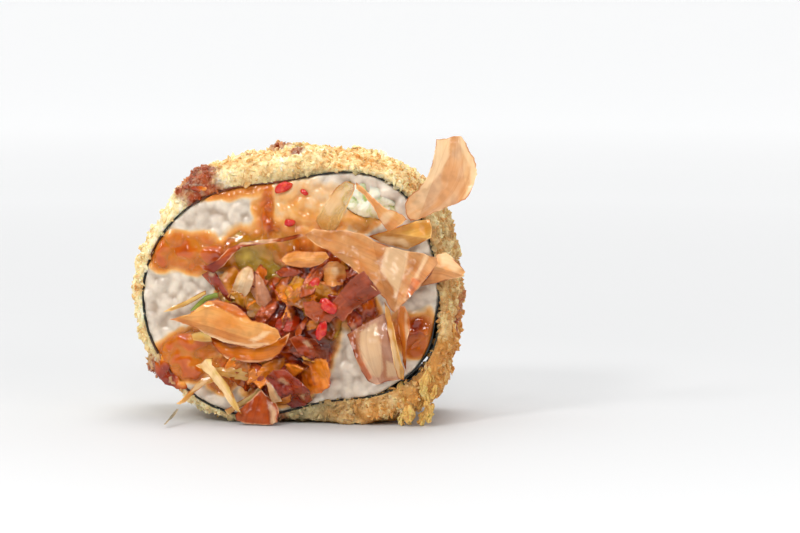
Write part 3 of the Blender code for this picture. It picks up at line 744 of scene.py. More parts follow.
@dataclass
class Scatter:
    """Instances of a few small shapes over a surface, each turned, sized and toned by chance."""
    name: str
    shapes: list[Piece]
    apart: float
    crowd: float
    sizes: tuple[float, float]
    turn_low: tuple[float, float, float]
    turn_high: tuple[float, float, float]
    seed: int
    material: Material | None = None
    sockets: dict = field(default_factory=dict)

    def inputs(self, tree: bpy.types.NodeTree) -> None:
        """Give the tree its named inputs and remember their identifiers."""
        kinds = {"Apart": "Float", "Crowd": "Float", "Smallest": "Float", "Largest": "Float",
                 "Turn Low": "Vector", "Turn High": "Vector", "Seed": "Int", "Shapes": "Collection",
                 "Material": "Material"}
        for way in ("INPUT", "OUTPUT"):
            tree.interface.new_socket(name="Geometry", in_out=way, socket_type="NodeSocketGeometry")
        for name, kind in kinds.items():
            made = tree.interface.new_socket(name=name, in_out="INPUT", socket_type="NodeSocket" + kind)
            self.sockets[name] = made.identifier

    def tree(self) -> bpy.types.NodeTree:
        """Write the node tree: points on faces, shapes on points, a tone for each, plain mesh."""
        tree = bpy.data.node_groups.new(self.name, "GeometryNodeTree")
        self.inputs(tree)
        node = NodeWriter(tree).node
        given = node("NodeGroupInput").outputs
        cover = node("GeometryNodeInputNamedAttribute", {"Name": "cover"}, data_type="FLOAT")
        values = {"Mesh": given["Geometry"], "Distance Min": given["Apart"], "Density Max": given["Crowd"],
                  "Density Factor": cover.outputs[0], "Seed": given["Seed"]}
        points = node("GeometryNodeDistributePointsOnFaces", values, distribute_method="POISSON")
        values = {"Collection": given["Shapes"], "Separate Children": True, "Reset Children": True}
        shapes = node("GeometryNodeCollectionInfo", values)
        values = {0: given["Turn Low"], 1: given["Turn High"], 8: given["Seed"]}
        turn = node("FunctionNodeRandomValue", values, data_type="FLOAT_VECTOR")
        turn = node("FunctionNodeEulerToRotation", {0: turn.outputs[0]})
        chance = node("FunctionNodeRandomValue", {8: given["Seed"]}, data_type="FLOAT")
        skew = node("ShaderNodeMath", {0: chance.outputs[1], 1: 2.0}, operation="POWER")
        values = {"Value": skew.outputs[0], "To Min": given["Smallest"], "To Max": given["Largest"]}
        size = node("ShaderNodeMapRange", values)
        values = {"Points": points.outputs["Points"], "Instance": shapes.outputs[0], "Pick Instance": True,
                  "Rotation": turn.outputs[0], "Scale": size.outputs[0]}
        sown = node("GeometryNodeInstanceOnPoints", values)
        tone = node("FunctionNodeRandomValue", {8: 11}, data_type="FLOAT")
        values = {"Geometry": sown.outputs[0], "Name": "tone", "Value": tone.outputs[1]}
        toned = node("GeometryNodeStoreNamedAttribute", values, data_type="FLOAT", domain="INSTANCE")
        real = node("GeometryNodeRealizeInstances", {0: toned.outputs[0]})
        worn = node("GeometryNodeSetMaterial", {"Geometry": real.outputs[0], "Material": given["Material"]})
        node("NodeGroupOutput", {0: worn.outputs[0]})
        return tree

    def grow(self, ground: Piece) -> Piece:
        """Scatter over a surface.

        Args:
            ground: the surface, with a point attribute "cover" that says how densely.

        Returns:
            One plain mesh of all the small shapes.
        """
        group = bpy.data.collections.new(self.name + "_shapes")
        for shape in self.shapes:
            for owner in list(shape.users_collection):
                owner.objects.unlink(shape)
            group.objects.link(shape)
        obj = placed(self.name, ground.data.copy())
        live = obj.modifiers.new("Scatter", "NODES")
        live.node_group = self.tree()
        values = {"Apart": self.apart * MM, "Crowd": self.crowd / MM ** 2, "Smallest": self.sizes[0],
                  "Largest": self.sizes[1], "Turn Low": self.turn_low, "Turn High": self.turn_high,
                  "Seed": self.seed, "Shapes": group, "Material": self.material}
        for name, value in values.items():
            if value is not None:
                live[self.sockets[name]] = value
        obj.update_tag()
        bpy.context.view_layer.update()
        bake(obj)
        for shape in self.shapes:
            drop(shape)
        bpy.data.collections.remove(group)
        return obj


def chip(name: str, draw: random.Random, corners: int, flat: float) -> Piece:
    """An angular crumb about 1 mm across: the hull of a few points on an uneven ball."""
    bm = bmesh.new()
    for _ in range(corners):
        way = Vector((draw.gauss(0, 1), draw.gauss(0, 1), draw.gauss(0, 1))).normalized()
        reach = draw.uniform(0.38, 0.58)
        bm.verts.new(Vector((way.x, way.y * 0.72, way.z * flat)) * reach)
    hull = bmesh.ops.convex_hull(bm, input=bm.verts)
    inner = [v for v in hull["geom_interior"] if isinstance(v, bmesh.types.BMVert)]
    bmesh.ops.delete(bm, geom=inner, context="VERTS")
    bmesh.ops.recalc_face_normals(bm, faces=bm.faces)
    bmesh.ops.scale(bm, vec=(MM, MM, MM), verts=bm.verts)
    return from_bmesh(name, bm)


# Crust

@dataclass
class Crust:
    """The fried crumb coat: a craggy ring under a thick scatter of crumbs."""
    thick: float = 2.4
    # Where it is thicker, thinner or frayed: height, centre, half span in degrees
    top: tuple = (3.3, 108.0, 36.0)
    corner: tuple = (4.3, -55.0, 28.0)
    thin: tuple = (-0.8, -126.0, 12.0)
    crag: float = 1.3
    edge_round: float = 1.1
    fray: tuple = (2.0, -48.0, 20.0)
    around: int = 460
    # Lumps: angle, y, reach, height
    lumps: tuple = ((128, -10.5, 4.5, 1.5), (99, 2.0, 3.5, 1.2), (91, -6.0, 2.5, 0.8),
                    (-31, -9.0, 4.0, 1.0), (-150, -8.0, 4.5, 0.8), (12, 4.0, 4.0, 0.8))
    # Sauce on the crust: angle, y, reach, strength
    glazes: tuple = ((129, -10.5, 3.8, 1.3), (137, -12.0, 2.2, 0.8), (98, 1.0, 3.2, 0.9),
                     (90, -6.5, 1.6, 0.9), (84, -2.0, 1.8, 0.6), (-12, -1.0, 4.2, 1.0), (-6, 5.0, 3.0, 0.7),
                     (-148, -10.5, 4.8, 0.9), (112, -3.0, 1.6, 0.5), (-98, -12.0, 3.0, 0.6))
    mean_radius: float = 32.0

    def section(self) -> tuple[Array, Array]:
        """Shares of the thickness and y down the outside, round the front and back to the start."""
        outer = [(1.0, y) for y in np.linspace(11.0, -11.0, 50)]
        rim = ((1.0, -11.0), (0.95, -12.1), (0.80, -12.7), (0.40, -13.0), (0.0, -12.8))
        front = [tuple(p) for p in spline(rim, np.linspace(0.08, 1.0, 12))]
        inner = [(0.0, y) for y in (-6.0, 0.0, 6.0)]
        back = [(share, -y) for share, y in reversed(front)]
        rows = np.array(outer + front + inner + back)
        return rows[:, 0], rows[:, 1]

    def arc_from(self, angle: Array, y: Array, spot: Sequence[float]) -> Array:
        """Distance over the crust from a spot (angle, y, ...), in millimetres."""
        return np.hypot(np.radians(turn_from(angle, spot[0])) * self.mean_radius, y - spot[1])

    def points(self, angle: Array, share: Array, y: Array) -> Array:
        """Places of the ring's surface."""
        x, z = polar(angle, nori_radius(angle))
        at = xyz(x, y, z)
        rough = noise_at(at, 0.34) + 0.6 * noise_at(at[..., [2, 0, 1]], 0.17)
        thick = (self.thick + bump(angle, self.top) + bump(angle, self.corner) + bump(angle, self.thin, 2)
                 + self.crag * rough - GAP)
        for spot in self.lumps:
            thick = thick + spot[3] * np.exp(-(self.arc_from(angle, y, spot) / spot[2]) ** 2)
        thick = thick - self.edge_round * smoothstep((np.abs(y) - 8.0) / 5.0)
        inner = nori_radius(angle) + SEAM
        x, z = polar(angle, inner + share * (np.maximum(thick, 1.0) + GAP - SEAM))
        at = xyz(x, y, z)
        lift = smoothstep((np.abs(y) - 11.0) / 1.6)
        ragged = 0.6 + 0.8 * noise_at(at[..., [2, 0, 1]], 0.35, 7.0)
        tear = np.where(y < 0, bump(angle, self.fray), 0.0) * ragged
        at[..., 1] += lift * (0.5 * noise_at(at, 0.5) - tear)
        return at

    def shell(self) -> Piece:
        """The ring itself, with crags down to half a millimetre."""
        share, y = self.section()
        angle = np.arange(self.around) * 360.0 / self.around
        angle, share, y = np.broadcast_arrays(angle[:, None], share[None, :], y[None, :])
        at = self.points(angle, share, y)
        run = np.roll(at, -1, 0) - np.roll(at, 1, 0)
        down = np.roll(at, -1, 1) - np.roll(at, 1, 1)
        out = np.cross(run, down)
        out /= np.linalg.norm(out, axis=-1, keepdims=True) + 1e-9
        fine = 0.34 * noise_at(at, 0.75) + 0.30 * noise_at(at, 1.5, 4.0)
        open_air = np.where(share > 0.02, 1.0, 0.0)
        at = at + out * (fine * open_air)[..., None]
        at[..., 0] = np.maximum(at[..., 0], CAD_LOW.x / MM)
        at[..., 2] = np.maximum(at[..., 2], 0.0)
        count, rows = at.shape[:2]
        i, j = np.meshgrid(np.arange(count), np.arange(rows), indexing="ij")
        i2, j2 = (i + 1) % count, (j + 1) % rows
        faces = np.stack([i * rows + j, i2 * rows + j, i2 * rows + j2, i * rows + j2], -1).reshape(-1, 4)
        obj = new_object("panko_shell", at, faces)
        self.tone(obj, angle.ravel(), share.ravel(), y.ravel(), at.reshape(-1, 3))
        return obj

    def tone(self, obj: Piece, angle: Array, share: Array, y: Array, at: Array) -> None:
        """Keep where the crust is toasted, greyer and glazed, with painted light on its left and painted
        shade under its bottom, and where it is crumbed.
        """
        # toasted in patches, and painted paler on the left of the ring (painted light)
        toast = (0.3 + 0.5 * noise_at(at, 0.16, 3.0) + bump(angle, (0.5, -50.0, 45.0))
                 + bump(angle, (0.3, 5.0, 40.0)) - bump(angle, (0.22, 175.0, 45.0)))
        near = (1.0 - smoothstep(share / 0.55)) * smoothstep((np.abs(y) - 11.0) / 1.2)
        # greyer by the nori and on the upper right; the rise at -95 degrees is painted shade under the bottom
        grey = near * (0.25 + bump(angle, (0.75, 55.0, 42.0))) + bump(angle, (0.45, 20.0, 26.0))
        grey += bump(angle, (0.95, -95.0, 30.0))
        glaze = np.zeros(len(at))
        for spot in self.glazes:
            glaze += spot[3] * np.exp(-(self.arc_from(angle, y, spot) / spot[2]) ** 4)
        glaze *= 1.2 + 0.9 * noise_at(at, 0.6, 9.0)
        toast, grey, glaze = (np.clip(values, 0.0, 1.0) for values in (toast, grey, glaze))
        cover = np.where((share > 0.05) | (np.abs(at[:, 1]) > 12.2), 1.0, 0.0)
        cover *= np.clip((at[:, 2] - 0.4) / 1.5, 0.0, 1.0) * (1.0 - 0.25 * glaze)
        store(obj, toast=toast, grey=grey, glaze=glaze, cover=cover, tone=0.5 + 0.5 * noise_at(at, 0.8))

    def crumbs(self, shell: Piece, name: str, apart: float, crowd: float, sizes: tuple, flat: float,
               corners: tuple, seed: int, material: Material) -> Piece:
        """Scatter crumbs of one kind over the ring and keep them inside the solid's box."""
        draw = random.Random(seed)
        shapes = [chip(f"{name}_{i}", draw, draw.randint(*corners), flat) for i in range(12)]
        spread = Scatter(name, shapes, apart, crowd, sizes, (0.0, 0.0, 0.0), (math.tau,) * 3, seed, material)
        obj = spread.grow(shell)
        at = points_of(obj)
        at[:, 0] = np.maximum(at[:, 0], CAD_LOW.x / MM)
        at[:, 1] = np.minimum(at[:, 1], CAD_HIGH.y / MM)
        at[:, 2] = np.maximum(at[:, 2], 0.0)
        set_points(obj, at)
        return obj

    def build(self) -> None:
        """Make and dress the crust."""
        shell = self.shell()
        shell.data.materials.append(PankoFinish("panko_ground").make())
        crumb = PankoFinish("panko_crumb").make()
        coarse = self.crumbs(shell, "panko_crumbs", 0.85, 0.9, (1.2, 2.9), 0.55, (8, 11), 5, crumb)
        fine = self.crumbs(shell, "panko_dust", 0.5, 1.6, (0.5, 1.2), 0.7, (6, 7), 8, crumb)
        publish(shell, None, "crust", "panko_crust")
        publish(coarse, None, "crust")
        publish(fine, None, "crust")


# Nori

@dataclass
class Nori:
    """One roasted sheet rolled round the rice, its ends lapping."""
    steps: int = 520
    rows: int = 26
    edge_wave: float = 0.35
    # Sauce on its cut edge: strength, centre, half span in degrees
    stains: tuple = ((1.0, 112.0, 24.0), (0.6, 163.0, 5.0), (0.7, 212.0, 12.0))

    def build(self) -> None:
        """Make and dress the sheet."""
        start, end = LAP[0], LAP[1] + 360.0 - 1.5
        angle = np.linspace(start, end, self.steps)
        inset = np.where(angle < 180.0, lap_inset(angle), 0.0)
        x, z = polar(angle, nori_radius(angle) - NORI_SHOWN / 2 - inset)
        across = np.linspace(-1.0, 1.0, self.rows)
        line = xyz(x, 0.0, z)
        at = np.repeat(line[:, None, :], self.rows, 1)
        reach = DEPTH / 2 - 0.05
        at[..., 1] = across * reach
        flat = at * [1, 0.02, 1]
        fray = self.edge_wave * (noise_at(flat, 0.45) + 0.6 * noise_at(flat, 1.3, 5.0))
        at[..., 1] += np.sign(across) * np.abs(across) ** 6 * fray
        thick = NORI_SHOWN * (0.85 + 0.6 * noise_at(line, 0.3, 4.0) + 0.4 * noise_at(line, 1.1, 9.0))
        thick = thick + bump(angle, (0.1, 215.0, 25.0)) + bump(angle, (0.12, 325.0, 20.0))
        thick = np.minimum(thick, NORI_THICK)
        obj = solid_sheet("nori_roll", at, np.repeat(thick[:, None], self.rows, 1))
        stain = sum(bump(angle, spot) for spot in self.stains)
        stain = np.repeat((stain * (0.8 + 0.6 * noise_at(line, 0.5, 2.0)))[:, None], self.rows, 1)
        store(obj, stain=np.tile(np.where(at[..., 1] < 0, stain, 0.0).ravel(), 2))
        publish(obj, NoriFinish().make(), "nori", "nori_sheet")


# Fillings

def crescent() -> Outline:
    """Avocado: a curved band, thickest in its middle."""
    spine = ((-13.0, 41.5), (-9.5, 36.0), (-4.0, 31.0), (3.0, 26.5), (9.5, 20.5))
    half = (1.4, 3.2, 3.8, 3.3, 1.4)
    t = np.linspace(0.0, 1.0, 15)
    middle, wide = spline(spine, t), spline(half, t)
    run = np.gradient(middle, axis=0)
    run /= np.linalg.norm(run, axis=1, keepdims=True)
    side = np.stack([run[:, 1], -run[:, 0]], -1) * wide[:, None]
    return [tuple(p) for p in middle + side] + [tuple(p) for p in (middle - side)[::-1]]


WEDGE_INSET = 1.2            # from the rice's outside to the cucumber's skin


def wedge() -> Outline:
    """Cucumber: a lens that hugs the nori at the upper right, its skin on the outer side."""
    angle = np.linspace(35.0, 67.0, 14)
    radius = rice_radius(angle) - WEDGE_INSET
    share = np.maximum(np.sin(np.pi * np.linspace(0.0, 1.0, 14)), 0.0) ** 0.7
    outer = np.stack(polar(angle, radius), -1)
    inner = np.stack(polar(angle, radius - 1.4 - 6.2 * share), -1)
    return [tuple(p) for p in outer] + [tuple(p) for p in inner[::-1]]


def block() -> Outline:
    """Cooked tuna: a soft-edged uneven block beside the avocado."""
    turn = np.arange(26) * 360.0 / 26
    radius = 6.2 + 0.7 * ripple(turn, 2, 20.0) + 0.5 * ripple(turn, 3, 50.0)
    x = 12.0 + 1.15 * radius * np.cos(np.radians(turn))
    z = 33.6 + 0.95 * radius * np.sin(np.radians(turn))
    return list(zip(x.tolist(), z.tolist()))


@dataclass
class Filling:
    """A strip of filling that runs through the roll.

    Its ends lie back by recess and are uneven by relief, with grain bumps to the millimetre and
    broken bits of about chunk millimetres. rim_of says where its finish shows the rim's tone.
    """
    node: str
    slot: str
    outline: Callable[[], Outline]
    recess: float
    relief: float
    grain: float
    finish: FleshFinish
    rim_of: Callable[[Array, Array], Array]
    chunk: float
    voxel: float = 0.36

    def build(self) -> Piece:
        """Make and dress the filling, with cut ends as uneven as a knife leaves them."""
        reach = DEPTH / 2 - self.recess
        obj = prism(self.node + "_cut", self.outline(), reach)
        fuse(obj, self.voxel, 2)
        at = points_of(obj)
        ends = smoothstep((np.abs(at[:, 1]) - reach + 1.2) / 0.8)
        level, crack = self.chunks(at)
        push = self.relief * (noise_at(at, self.grain, 2.0) + 0.8 * level - 0.7 * crack)
        at[:, 1] += np.sign(at[:, 1]) * ends * np.minimum(push, self.recess + 0.15)
        set_points(obj, at)
        store(obj, chunk=level, rim=self.rim_of(at[:, 0], at[:, 2]), stain=sauce_stain(at))
        publish(obj, self.finish.make(), self.slot, self.node)
        return obj

    def chunks(self, at: Array) -> tuple[Array, Array]:
        """The broken bits that the cut ends fall into: how far each stands out, and 1 in the cracks."""
        outline = np.array(self.outline())
        low, high = outline.min(axis=0), outline.max(axis=0)
        count = max(4, int(np.prod(high - low) / self.chunk ** 2))
        draw = np.random.default_rng(len(outline))
        sites, levels = draw.uniform(low, high, (count, 2)), draw.uniform(-0.6, 0.6, count)
        sway = np.stack([noise_at(at, 0.45, 4.0), noise_at(at, 0.45, 9.0)], -1)
        away = np.linalg.norm((at[:, [0, 2]] + 1.2 * sway)[:, None] - sites[None], axis=2)
        nearest = np.argsort(away, axis=1)[:, :2]
        first, second = np.take_along_axis(away, nearest, axis=1).T
        return levels[nearest[:, 0]], np.exp(-((second - first) / 0.4) ** 2)


def skin_share(x: Array, z: Array) -> Array:
    """How much of the cucumber's dark skin shows: a thin line along its outer side, mostly at the right."""
    angle, radius = on_roll(x, z)
    inside = rice_radius(angle) - WEDGE_INSET - radius
    right = 1.0 - 0.75 * smoothstep((angle - 44.0) / 8.0)
    return right * (1.0 - smoothstep((inside - 0.35) / 0.7))


def peel_share(x: Array, z: Array) -> Array:
    """How green the avocado is: greenest at its outer side."""
    return 1.0 - smoothstep((-outline_distance(x, z, crescent()) - 0.1) / 1.6)


def streak_share(x: Array, z: Array) -> Array:
    """How deep the tuna's tone is: soft slanting streaks."""
    return np.clip(0.5 + np.sin(x * 1.9 + z * 0.7) * 0.6, 0.0, 1.0) * 0.6


# Sauce on the shown cut face

def oval(x: Array, z: Array, shape: Sequence[float]) -> tuple[Array, Array]:
    """How far places are along and across an oval (x, z, half width, half height, turn).

    Returns:
        Two squares, whose sum is 1 on the oval's edge.
    """
    cx, cz, wide, high, turn = shape
    c, s = math.cos(math.radians(turn)), math.sin(math.radians(turn))
    dx, dz = x - cx, z - cz
    return ((dx * c + dz * s) / wide) ** 2, ((dz * c - dx * s) / high) ** 2


@dataclass(frozen=True)
class Pool:
    """A patch of sauce: its middle, half sizes, how far it stands out, its turn and darkness."""
    x: float
    z: float
    wide: float
    high: float
    out: float
    turn: float = 0.0
    dark: float = 0.0

    def dome(self, x: Array, z: Array) -> Array:
        """1 in the middle, 0 at the edge, negative outside."""
        along, across = oval(x, z, (self.x, self.z, self.wide, self.high, self.turn))
        return 1.0 - along - across


POOLS = (
    Pool(-22.8, 37.4, 10.2, 4.4, 0.9, -3), Pool(-17.6, 36.9, 3.2, 3.0, 2.1),
    Pool(-28.6, 38.8, 3.0, 2.4, 1.4), Pool(-24.6, 14.4, 6.4, 5.6, 1.0, -40),
    Pool(-19.2, 17.6, 5.4, 3.4, 0.8, 20), Pool(-15.5, 11.0, 4.4, 4.0, 0.8),
    Pool(26.8, 20.6, 5.4, 5.0, 1.0, 10, 0.12), Pool(-13.0, 51.6, 7.2, 2.2, 0.7, 12),
    Pool(-6.2, 46.6, 2.0, 7.4, 0.9, 0, 0.15), Pool(-1.6, 47.4, 5.0, 7.4, 0.24),
    Pool(4.2, 49.4, 6.0, 4.8, 0.22, 10), Pool(-1.8, 41.4, 5.0, 3.4, 0.6, 0, 0.05),
    Pool(7.0, 43.0, 5.4, 4.4, 0.4), Pool(-7.5, 36.4, 10.0, 6.4, 0.8, -20),
    Pool(11.0, 35.0, 8.0, 5.6, 1.0, 0, 0.2), Pool(2.0, 23.0, 9.6, 14.0, 2.6, 0, 0.45),
    Pool(-8.0, 12.6, 8.2, 4.8, 1.5, 0, 0.35), Pool(-10.5, 28.5, 5.8, 5.4, 1.6, 0, 0.3),
    Pool(10.0, 30.5, 8.0, 5.4, 1.9, 0, 0.3), Pool(-3.0, 7.6, 7.0, 3.4, 1.2, 8, 0.4),
    Pool(14.0, 26.5, 5.0, 4.0, 1.2, -30, 0.3), Pool(16.4, 45.6, 5.4, 2.6, 0.45, 18),
    Pool(0.0, 37.5, 6.0, 3.5, 0.8, 0, 0.05), Pool(-9.0, 23.0, 5.0, 3.6, 1.6, 20, 0.35),
)
WARP = 1.3                   # how far the edges of the pools wander
# Where green filling shows through the sauce: x, z, reach
GREEN_SPOTS = ((16.8, 46.0, 4.4), (-9.0, 36.8, 5.2), (-4.0, 34.0, 5.0), (-2.5, 40.0, 2.6), (9.8, 20.4, 3.0),
               (-17.5, 33.2, 2.0))


def warped(x: Array, z: Array) -> tuple[Array, Array]:
    """Places moved a little, so that the pools' edges wander."""
    at = xyz(x, 0.0, z)
    return x + WARP * noise_at(at, 0.22, 5.0) * 1.5, z + WARP * noise_at(at, 0.22, 11.0) * 1.5


def sauce_stain(at: Array) -> Array:
    """How far sauce has soaked in at each point: 1 under a pool and fading round it."""
    x, z = warped(at[:, 0], at[:, 2])
    soaked = np.zeros(len(at))
    for pool in POOLS:
        margin = 3.4 / min(pool.wide, pool.high)
        most = min(1.0, 0.14 + pool.out)
        soaked = np.maximum(soaked, most * smoothstep((pool.dome(x, z) + margin) / (margin + 0.6)))
    return soaked * smoothstep((FACE + 3.5 - at[:, 1]) / 3.0)


def torn_outline(draw: random.Random, x: float, z: float, long: float, wide: float,
                 heading: float) -> Outline:
    """An angular torn shape.

    Args:
        draw: the source of its chances.
        x: its middle across the face.
        z: its middle's height.
        long: half its length.
        wide: its width as a share of its length.
        heading: the way it points, in radians.
    """
    outline = []
    count = draw.randint(5, 8)
    for k in range(count):
        way = (k + draw.uniform(-0.35, 0.35)) * math.tau / count
        size = draw.uniform(0.6, 1.2)
        out, side = long * math.cos(way) * size, long * wide * math.sin(way) * size
        outline.append((x + out * math.cos(heading) - side * math.sin(heading),
                        z + out * math.sin(heading) + side * math.cos(heading)))
    return outline


@dataclass(frozen=True)
class Lobe:
    """A part of the heap: its middle, half sizes, share of the shards and their colours."""
    x: float
    z: float
    wide: float
    high: float
    share: float
    tones: tuple


class Tone(Enum):
    """Colours of the shavings: of the sheet and of its torn rim."""
    CREAM = (srgb(246, 214, 168), srgb(190, 108, 50))
    BEIGE = (srgb(244, 178, 112), srgb(140, 64, 24))
    PEACH = (srgb(255, 186, 102), srgb(176, 78, 24))
    PINK = (srgb(240, 184, 148), srgb(124, 44, 18))
    SHELL = (srgb(255, 216, 166), srgb(190, 108, 56))
    AMBER = (srgb(246, 188, 88), srgb(168, 84, 20))
    ORANGE = (srgb(250, 144, 34), srgb(146, 44, 6))
    YELLOW = (srgb(255, 214, 122), srgb(160, 92, 30))
    OLIVE = (srgb(206, 146, 36), srgb(112, 44, 14))
    TERRACOTTA = (srgb(210, 96, 34), srgb(96, 22, 6))
    RED = (srgb(164, 42, 8), srgb(74, 12, 4))
    STRAW = (srgb(234, 198, 118), srgb(164, 84, 30))
    MAHOGANY = (srgb(196, 84, 34), srgb(88, 22, 6))
    GLASSY = (srgb(226, 150, 30), srgb(150, 60, 8))
    GREY = (srgb(176, 176, 160), srgb(120, 118, 102))
    GREEN = (srgb(190, 214, 110), srgb(120, 150, 56))


HEAP_LOBES = (
    Lobe(-4.0, 26.0, 5.5, 5.0, 26, (Tone.RED, Tone.MAHOGANY, Tone.TERRACOTTA, Tone.ORANGE)),
    Lobe(4.0, 29.5, 5.5, 4.0, 20, (Tone.GLASSY, Tone.ORANGE, Tone.ORANGE, Tone.TERRACOTTA)),
    Lobe(3.0, 20.0, 5.5, 6.0, 24, (Tone.RED, Tone.MAHOGANY, Tone.TERRACOTTA, Tone.ORANGE, Tone.GLASSY)),
    Lobe(-1.0, 9.0, 6.0, 5.0, 22, (Tone.RED, Tone.TERRACOTTA, Tone.ORANGE)),
    Lobe(-11.0, 12.0, 6.0, 4.0, 16, (Tone.AMBER, Tone.ORANGE, Tone.ORANGE, Tone.TERRACOTTA)),
    Lobe(-11.0, 29.0, 5.0, 5.0, 16, (Tone.GLASSY, Tone.ORANGE, Tone.OLIVE, Tone.TERRACOTTA)),
    Lobe(11.0, 30.5, 6.0, 5.5, 20, (Tone.TERRACOTTA, Tone.RED, Tone.MAHOGANY, Tone.ORANGE, Tone.GLASSY)),
)


@dataclass
class Sauce:
    """The glaze that lies over rice and fillings, and the shards that lie in it in the heap."""
    pitch: float = 0.25
    sink: float = 0.22
    wall: float = 0.8
    shards: int = 88
    seed: int = 4
    levels: Array | None = None
    grid_x: Array | None = None
    grid_z: Array | None = None
    material: Material | None = None

    def survey(self, ground: BVHTree) -> None:
        """Measure how far the food under it stands out, as y over a grid."""
        self.grid_x = np.arange(-34.0, 34.0, self.pitch)
        self.grid_z = np.arange(0.0, 60.0, self.pitch)
        self.levels = np.full((len(self.grid_x), len(self.grid_z)), FACE + 0.4)
        forward = Vector((0.0, 1.0, 0.0))
        for i, x in enumerate(self.grid_x):
            for j, z in enumerate(self.grid_z):
                hit = ground.ray_cast(Vector((x, -40.0, z)), forward, 32.0)[0]
                if hit is not None:
                    self.levels[i, j] = hit.y

    def blur(self, values: Array, rounds: int) -> Array:
        """Smooth a grid of values."""
        for _ in range(rounds):
            edge = np.pad(values, 1, mode="edge")
            values = (edge[:-2, 1:-1] + edge[2:, 1:-1] + edge[1:-1, :-2] + edge[1:-1, 2:] + 4 * values) / 8
        return values

    def thickness(self, x: Array, z: Array) -> tuple[Array, Array]:
        """How far the sauce stands out, and how dark it is, at places on the face."""
        wx, wz = warped(x, z)
        out, dark = np.zeros(x.shape), np.zeros(x.shape)
        for pool in POOLS:
            inside = np.maximum(pool.dome(wx, wz), 0.0)
            out = np.maximum(out, pool.out * inside * (2.0 - inside))
            dark = np.maximum(dark, pool.dark * np.sqrt(inside))
        angle, radius = on_roll(x, z)
        return out * smoothstep((packed_radius(angle) - 0.1 - radius) / 0.9), dark

    def build(self, ground: BVHTree) -> None:
        """Make and dress the glaze."""
        self.survey(ground)
        x, z = np.meshgrid(self.grid_x, self.grid_z, indexing="ij")
        out, dark = self.thickness(x, z)
        place = xyz(x, 0.0, z)
        out = self.blur(out, 6)
        waves = 0.8 * noise_at(place, 0.24, 21.0) + 0.16 * noise_at(place, 0.7, 3.0)
        out += smoothstep((out - 0.15) / 0.6) * waves
        heaped = smoothstep(self.blur(dark, 6) / 0.22)
        crest = self.crests(place)
        out += heaped * (crest - 0.5)
        pile, tint, shown = self.pile(x, z)
        out += self.blur(pile * heaped, 1)
        soft = self.blur(self.levels, 10)
        soft += (self.blur(soft, 70) - soft) * smoothstep((out - 0.2) / 0.7)
        top = soft - out + self.sink
        film = self.levels - top
        # painted shade and painted light in the heap: darker in the creases of the glaze, lighter on its
        # crests
        depth = np.clip(film / 2.2, 0.0, 1.0) * 0.5 + dark * 0.7 + heaped * (0.5 - 0.75 * crest)
        green = np.zeros(x.shape)
        for cx, cz, reach in GREEN_SPOTS:
            green = np.maximum(green, np.exp(-(np.hypot(x - cx, z - cz) / reach) ** 3))
        used, faces = np.unique(grid_faces(out > 0.02), return_inverse=True)
        obj = new_object("amber_sauce", xyz(x, top, z).reshape(-1, 3)[used], faces.reshape(-1, 4))
        kept = {"depth": depth, "film": self.blur(film, 4), "shown": shown * heaped, "tint": tint,
                "crumple": smoothstep(dark / 0.3), "green": green}
        store(obj, **{name: grid.reshape(x.size, *grid.shape[2:])[used] for name, grid in kept.items()})
        solid = obj.modifiers.new("Wall", "SOLIDIFY")
        solid.thickness = self.wall * MM
        solid.offset = -1.0
        bake(obj)
        self.material = SauceFinish().make()
        publish(obj, self.material, "sauced_topping")

    def pile(self, x: Array, z: Array) -> tuple[Array, Array, Array]:
        """Flat torn shards lying over each other in the heap.

        Returns:
            How far they stand out, their colours, and where a shard shows, 0 to 1.
        """
        draw = random.Random(self.seed)
        out, tint, shown = np.zeros(x.shape), np.zeros((*x.shape, 3)), np.zeros(x.shape)
        for _ in range(self.shards):
            lobe = draw.choices(HEAP_LOBES, [lobe.share for lobe in HEAP_LOBES])[0]
            turn, reach = draw.uniform(0, math.tau), math.sqrt(draw.random())
            cx, cz = lobe.x + lobe.wide * reach * math.cos(turn), lobe.z + lobe.high * reach * math.sin(turn)
            long, heading = draw.uniform(1.8, 5.0), draw.uniform(0, math.tau)
            outline = torn_outline(draw, cx, cz, long, draw.uniform(0.3, 0.7), heading)
            level, slope_x, slope_z = draw.uniform(0.1, 1.1), draw.uniform(-0.6, 0.6), draw.uniform(-0.6, 0.6)
            body, rim = (np.array(c) for c in draw.choice(lobe.tones).value)
            light, bow = draw.uniform(0.55, 1.55), draw.uniform(-1.0, 0.5)
            i, j = np.nonzero((np.abs(x - cx) < long * 1.3) & (np.abs(z - cz) < long * 1.3))
            px, pz = x[i, j], z[i, j]
            deep = -outline_distance(px, pz, outline)
            plane = level + slope_x * (px - cx) + slope_z * (pz - cz) + 0.2 * noise_at(xyz(px, cx, pz), 0.5)
            plane += bow * ((px - cx) ** 2 + (pz - cz) ** 2) / long ** 2
            plane += 0.35 * np.exp(-(deep / 0.35) ** 2)
            top = (deep > 0) & (plane > out[i, j])
            i, j, deep = i[top], j[top], deep[top][:, None]
            out[i, j] = plane[top]
            dim = 0.25 * smoothstep(noise_at(xyz(px, pz, 0.0), 0.9)[top] + 0.5)
            tint[i, j] = np.where(deep < 0.2, 0.5 * (rim + body), body * (light * (1.0 - dim)[:, None]))
            shown[i, j] = 1.0
        return self.blur(out, 1), tint, self.blur(shown, 2)

    def crests(self, place: Array) -> Array:
        """Folds of the heaped glaze: 1 on a crest and 0 in the creases beside it."""
        bent = place + 2.2 * xyz(noise_at(place, 0.2, 31.0), 0.0, noise_at(place, 0.2, 37.0))
        broad = 1.0 - 2.2 * np.abs(noise_at(bent * [1.0, 1.0, 1.5], 0.2, 41.0))
        narrow = 1.0 - 2.2 * np.abs(noise_at(bent, 0.42, 47.0))
        return self.blur(np.clip(0.62 * broad + 0.38 * narrow, 0.0, 1.0), 1)

